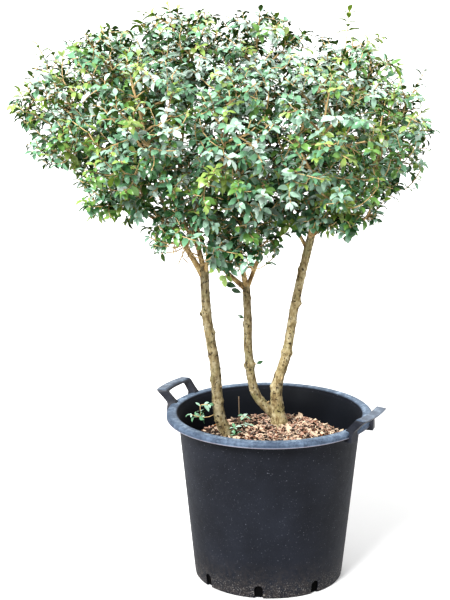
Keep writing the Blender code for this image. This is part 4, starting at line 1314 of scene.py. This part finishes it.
def triangle_object(name, corners, triangles, looks, look_of):
    """A smooth object from arrays of corners and triangles."""
    mesh = bpy.data.meshes.new(name)
    mesh.vertices.add(len(corners))
    mesh.vertices.foreach_set("co", corners.astype(np.float32).ravel())
    mesh.loops.add(triangles.size)
    mesh.loops.foreach_set("vertex_index", triangles.astype(np.int32).ravel())
    mesh.polygons.add(len(triangles))
    mesh.polygons.foreach_set("loop_start", np.arange(0, triangles.size, 3, dtype=np.int32))
    for look in looks:
        mesh.materials.append(look)
    mesh.polygons.foreach_set("material_index", np.asarray(look_of, dtype=np.int32))
    mesh.update(calc_edges=True)
    mesh.validate()
    mesh.shade_smooth()
    mesh.set_sharp_from_angle(angle=math.radians(LEAF_CREASE))
    return new_object(name, mesh)


def leaves_object(name, seats, chance, looks):
    triangles, upper = leaf_triangles()
    corners = leaf_corners(seats, chance)
    shifts = np.arange(len(seats))[:, None, None] * corners.shape[1]
    names = list(TINTS)
    look_of = np.empty((len(seats), len(triangles)), dtype=np.int32)
    look_of[:, :upper] = [[names.index(seat.tint)] for seat in seats]
    look_of[:, upper:] = [[len(names) + (seat.tint in YOUNG)] for seat in seats]
    return triangle_object(
        name, corners.reshape(-1, 3), (triangles[None] + shifts).reshape(-1, 3), looks, look_of.ravel()
    )


def pick_tint(chance, tip, inner):
    """A spray's tint: fresher towards the top and the outside, deeper towards the bottom and the inside. The
    silver tint, painted sheen, is dealt more towards the top and the outside, where light falls; the deep tint,
    dealt more towards the bottom, is partly painted shade.
    """
    height = clamp((tip.z - 0.95) / 0.6)
    right = clamp((tip.x - 0.02) / 0.20)
    left = clamp((-tip.x - 0.25) / 0.20)
    middle = 1 - min(1.0, abs(tip.x + 0.06) / 0.30)
    outer = 1 - inner
    weights = {
        # The silver tint is painted sheen, dealt more towards the top, the outside and the middle
        "silver_sheen": (0.60 + 0.80 * outer) * (0.35 + 0.65 * height) * (0.75 - 0.3 * right + 0.85 * middle),
        "sage": 1.30 + 0.40 * height,
        "mid": 1.10,
        "green": 0.70 - 0.15 * height + 0.50 * right,
        "olive": 0.16 + 0.26 * height + 0.30 * right + 0.30 * left - 0.12 * middle,
        # More deep leaves towards the bottom, partly as painted shade
        "deep": 0.55 - 0.35 * height,
        "fresh": (0.05 + 0.40 * height * outer) * (1 - 0.6 * middle),
    }
    shares = np.array(list(weights.values()))
    return list(weights)[chance.choice(len(weights), p=shares / shares.sum())]


def leaf_seats(points, chance, tint):
    """Opposite pairs down the twig from its tip, each a quarter turn from the next, and often one tip leaf."""
    lengths = run_lengths(points)
    seats = []
    tilt = chance.uniform(-LEAF_TILT, LEAF_TILT)
    outward = Vector((points[-1].x - CROWN_MIDDLE[0], points[-1].y - CROWN_MIDDLE[1], 0)).normalized()
    fresher = tint in ("green", "mid", "sage") and chance.random() < FRESH_TIPS
    for pair in range(LEAF_PAIRS):
        wanted = lengths[-1] - LEAF_SPACING * pair * chance.uniform(*LEAF_SPACINGS) - LEAF_FROM_TIP
        if wanted < lengths[-1] * LEAF_BARE:
            break
        index = max(i for i, length in enumerate(lengths[:-1]) if length <= wanted)
        way = (points[index + 1] - points[index]).normalized()
        root = points[index] + way * (wanted - lengths[index])
        level = way.cross(UP)
        level = level.normalized() if level.length > 0.2 else Vector((1, 0, 0))
        side = Quaternion(way, (math.pi / 2 if pair % 2 else 0.0) + tilt) @ level
        side = side - UP * side.z * LEAF_LEVEL * (1 - abs(way.z))
        side.normalize()
        growth = LEAF_YOUNGEST + (1 - LEAF_YOUNGEST) * min(1.0, pair / 2)
        for hand in (1, -1):
            spread = LEAF_SPREAD + chance.normal(0.0, LEAF_SPREAD_STRAY) + LEAF_SPREAD_GROWS * pair
            leaf = way * math.cos(spread) + side * hand * math.sin(spread)
            face = way + outward * LEAF_FACING_OUT + UP * LEAF_FACING_UP
            face += Vector(chance.normal(0.0, LEAF_STRAY, 3))
            face = square_to(leaf, face)
            look = "fresh" if fresher and not pair else tint
            if pair > 1 and chance.random() < LEAF_OLDER:
                look = OLDER[look]
            seats.append(Seat(root, leaf, face, growth * chance.uniform(*LEAF_SIZES), look))
        if pair == 0 and chance.random() < TIP_LEAVES:
            face = level.cross(way).normalized()
            face = face if face.z > 0 else -face
            look = "fresh" if fresher else tint
            seats.append(Seat(points[-1], way.copy(), face, chance.uniform(*TIP_LEAF_SIZES), look))
    return seats


def is_bare(place):
    """Whether a place lies in one of the crown's bare parts."""
    return any(
        sum(((p - c) / r) ** 2 for p, c, r in zip(place, centre, reach)) < 1 for centre, reach in BARE_PARTS
    )


def make_mass(mass, bough_name, limbs, looks, twig_look, chance):
    """A mass of foliage: its twigs and its leaves."""
    twigs = mass_twigs(mass, bough_name, limbs)
    seats = []
    for twig in twigs:
        tip = twig.points[-1]
        reach = reach_share(mass, tip)
        tint = pick_tint(chance, tip, 1 - min(1.0, reach))
        if reach > 1 and tip.z > FRESH_ABOVE:
            tint = "fresh"
        seats += [seat for seat in leaf_seats(twig.points, chance, tint) if not is_bare(seat.root)]
    radii = twig_radii(twigs, limbs[bough_name].radii[-1] * TWIG_FOOT)
    wood = tubes_object(f"twigs_{mass}", [twig.points for twig in twigs], radii, TWIG_SIDES, twig_look)
    leaves = leaves_object(f"leaves_{mass}", seats, chance, looks)
    for piece, slot in ((wood, "young_bark"), (leaves, "foliage")):
        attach(piece, "root")
        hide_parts(f"foliage_{mass}")


def make_shoot(stem, looks, twig_look, chance):
    """The shoot at the left stem's foot."""
    start = Vector(SHOOT_ROOT)
    way = (Vector(SHOOT_ENDS[0]) - start).normalized()
    while gap_to(stem, start) < -SHOOT_RADIUS[0]:
        start += way * SHOOT_STEP
    twigs = grow(start, way, [Vector(end) for end in SHOOT_ENDS], lambda points: True, len(SHOOT_ENDS))
    ways = [twig.points for twig in twigs]
    seats = []
    for points in ways:
        for seat in leaf_seats(points, chance, "green"):
            tint = "sage" if chance.random() < SHOOT_PALE else "mid"
            seats.append(seat._replace(size=seat.size * SHOOT_LEAF, tint=tint))
    radii = [tapered(SHOOT_RADIUS, len(points)) for points in ways]
    wood = tubes_object("shoot_twigs", ways, radii, TWIG_SIDES + 2, twig_look)
    leaves = leaves_object("shoot_leaves", seats, chance, looks)
    for piece, slot in ((wood, "young_bark"), (leaves, "foliage")):
        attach(piece, "root")
        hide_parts("basal_shoot")


def make_seedlings(looks, chance):
    seats, ways = [], []
    for x, y, rise in SEEDLINGS:
        foot = Vector((x, y, soil_height(x, y)))
        lean = [chance.uniform(-SEEDLING_LEAN, SEEDLING_LEAN) for axis in range(2)]
        tip = foot + Vector((*lean, rise))
        ways.append([foot, tip])
        turn = chance.uniform(0, FULL_TURN)
        for leaf in range(SEEDLING_LEAVES):
            angle = turn + leaf * FULL_TURN / SEEDLING_LEAVES
            way = Vector(on_circle(angle, 1.0, chance.uniform(*SEEDLING_RISES))).normalized()
            size = SEEDLING_LEAF * chance.uniform(*SEEDLING_SIZES)
            seats.append(Seat(tip, way, square_to(way, UP), size, chance.choice(("sage", "mid"))))
    look = plain("seedling_stalk", (0.180, 0.300, 0.080), 0.6)
    stalks = tubes_object("seedling_stalks", ways, [SEEDLING_RADIUS] * len(ways), TWIG_SIDES, look)
    sprouts = leaves_object("seedling_leaves", seats, chance, looks)
    for piece in (stalks, sprouts):
        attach(piece, "root")


def make_fallen_leaves(chance):
    seats = []
    for x, y in FALLEN_LEAVES:
        root = Vector((x, y, soil_height(x, y) + FALLEN_LIFT))
        angle = chance.uniform(0, FULL_TURN)
        way = Vector(on_circle(angle, 1.0, chance.uniform(*FALLEN_RISES))).normalized()
        seats.append(Seat(root, way, square_to(way, UP), chance.uniform(*FALLEN_SIZES), "sage"))
    dry = plain("leaf_dry", (0.420, 0.150, 0.045), 0.7)
    fallen = leaves_object("fallen_leaves", seats, chance, [dry] * (len(TINTS) + len(UNDERSIDES)))
    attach(fallen, "root")


def make_sprigs(looks, twig_look, chance):
    """The single leaves on the middle stem."""
    seats, ways = [], []
    for foot, tip, size in SPRIGS:
        foot, tip = Vector(foot), Vector(tip)
        ways.append([foot, tip])
        way = ((tip - foot) * SPRIG_TURN).normalized()
        seats.append(Seat(tip, way, square_to(way, SPRIG_FACE), size, "deep"))
    wood = tubes_object("sprig_twigs", ways, [[SPRIG_RADIUS] * 2] * len(ways), TWIG_SIDES, twig_look)
    sprigs = leaves_object("sprig_leaves", seats, chance, looks)
    for piece, slot in ((wood, "young_bark"), (sprigs, "foliage")):
        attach(piece, "root")


def make_dead_wood(limbs):
    """A dead stick in the soil, and the stubs of broken side twigs on the stems."""
    way = smooth_way(STICK, STICK_STEP)
    radii = [STICK_RADIUS[0] if ring < STICK_FOOT_RINGS else STICK_RADIUS[1] for ring in range(len(way))]
    look = plain("dead_wood", (0.260, 0.190, 0.130), 0.85, 0.3)
    stick = tubes_object("dead_stick", [way], [radii], STICK_SIDES, look)
    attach(stick, "root")

    ways = []
    for stem_name, share, way, length in STUBS:
        foot = point_along(limbs[stem_name], share)
        leg = Vector(way).normalized() * (STUB_RADIUS[0] * 2 + length) / (STUB_RINGS - 1)
        ways.append([foot + (leg + UP * length * STUB_RISE) * ring for ring in range(STUB_RINGS)])
    radii = [tapered(STUB_RADIUS, STUB_RINGS)] * len(ways)
    look = bark("stub_bark", STUB_TONES, STUB_PITS)
    stubs = tubes_object("broken_stubs", ways, radii, STICK_SIDES, look)
    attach(stubs, "root")


def main():
    make_camera()
    make_light()
    make_floor()
    make_pot(pot_plastic())
    grips = grip_plastic()
    for name, angle in GRIP_ANGLES.items():
        make_grip(name, angle, grips)
    ground = earth()
    soil = frame["nodes"]["soil"]
    soil.data.materials.clear()
    soil.data.materials.append(ground)
    make_earth(ground)
    make_chips(np.random.default_rng(SEED + 1))

    limbs = all_limbs()
    twig_look = plain("twig_bark", (0.430, 0.305, 0.150), 0.6, 0.35)
    make_wood(limbs, bark("bough_bark", BOUGH_TONES, BOUGH_PITS))
    looks = leaf_looks()
    chance = np.random.default_rng(SEED)
    for name, bough in BOUGHS.items():
        make_mass(bough.mass, name, limbs, looks, twig_look, chance)
    chance = np.random.default_rng(SEED + 2)
    make_shoot(limbs["stem_left"], looks, twig_look, chance)
    make_seedlings(looks, chance)
    make_fallen_leaves(chance)
    make_sprigs(looks, twig_look, chance)
    make_dead_wood(limbs)


main()
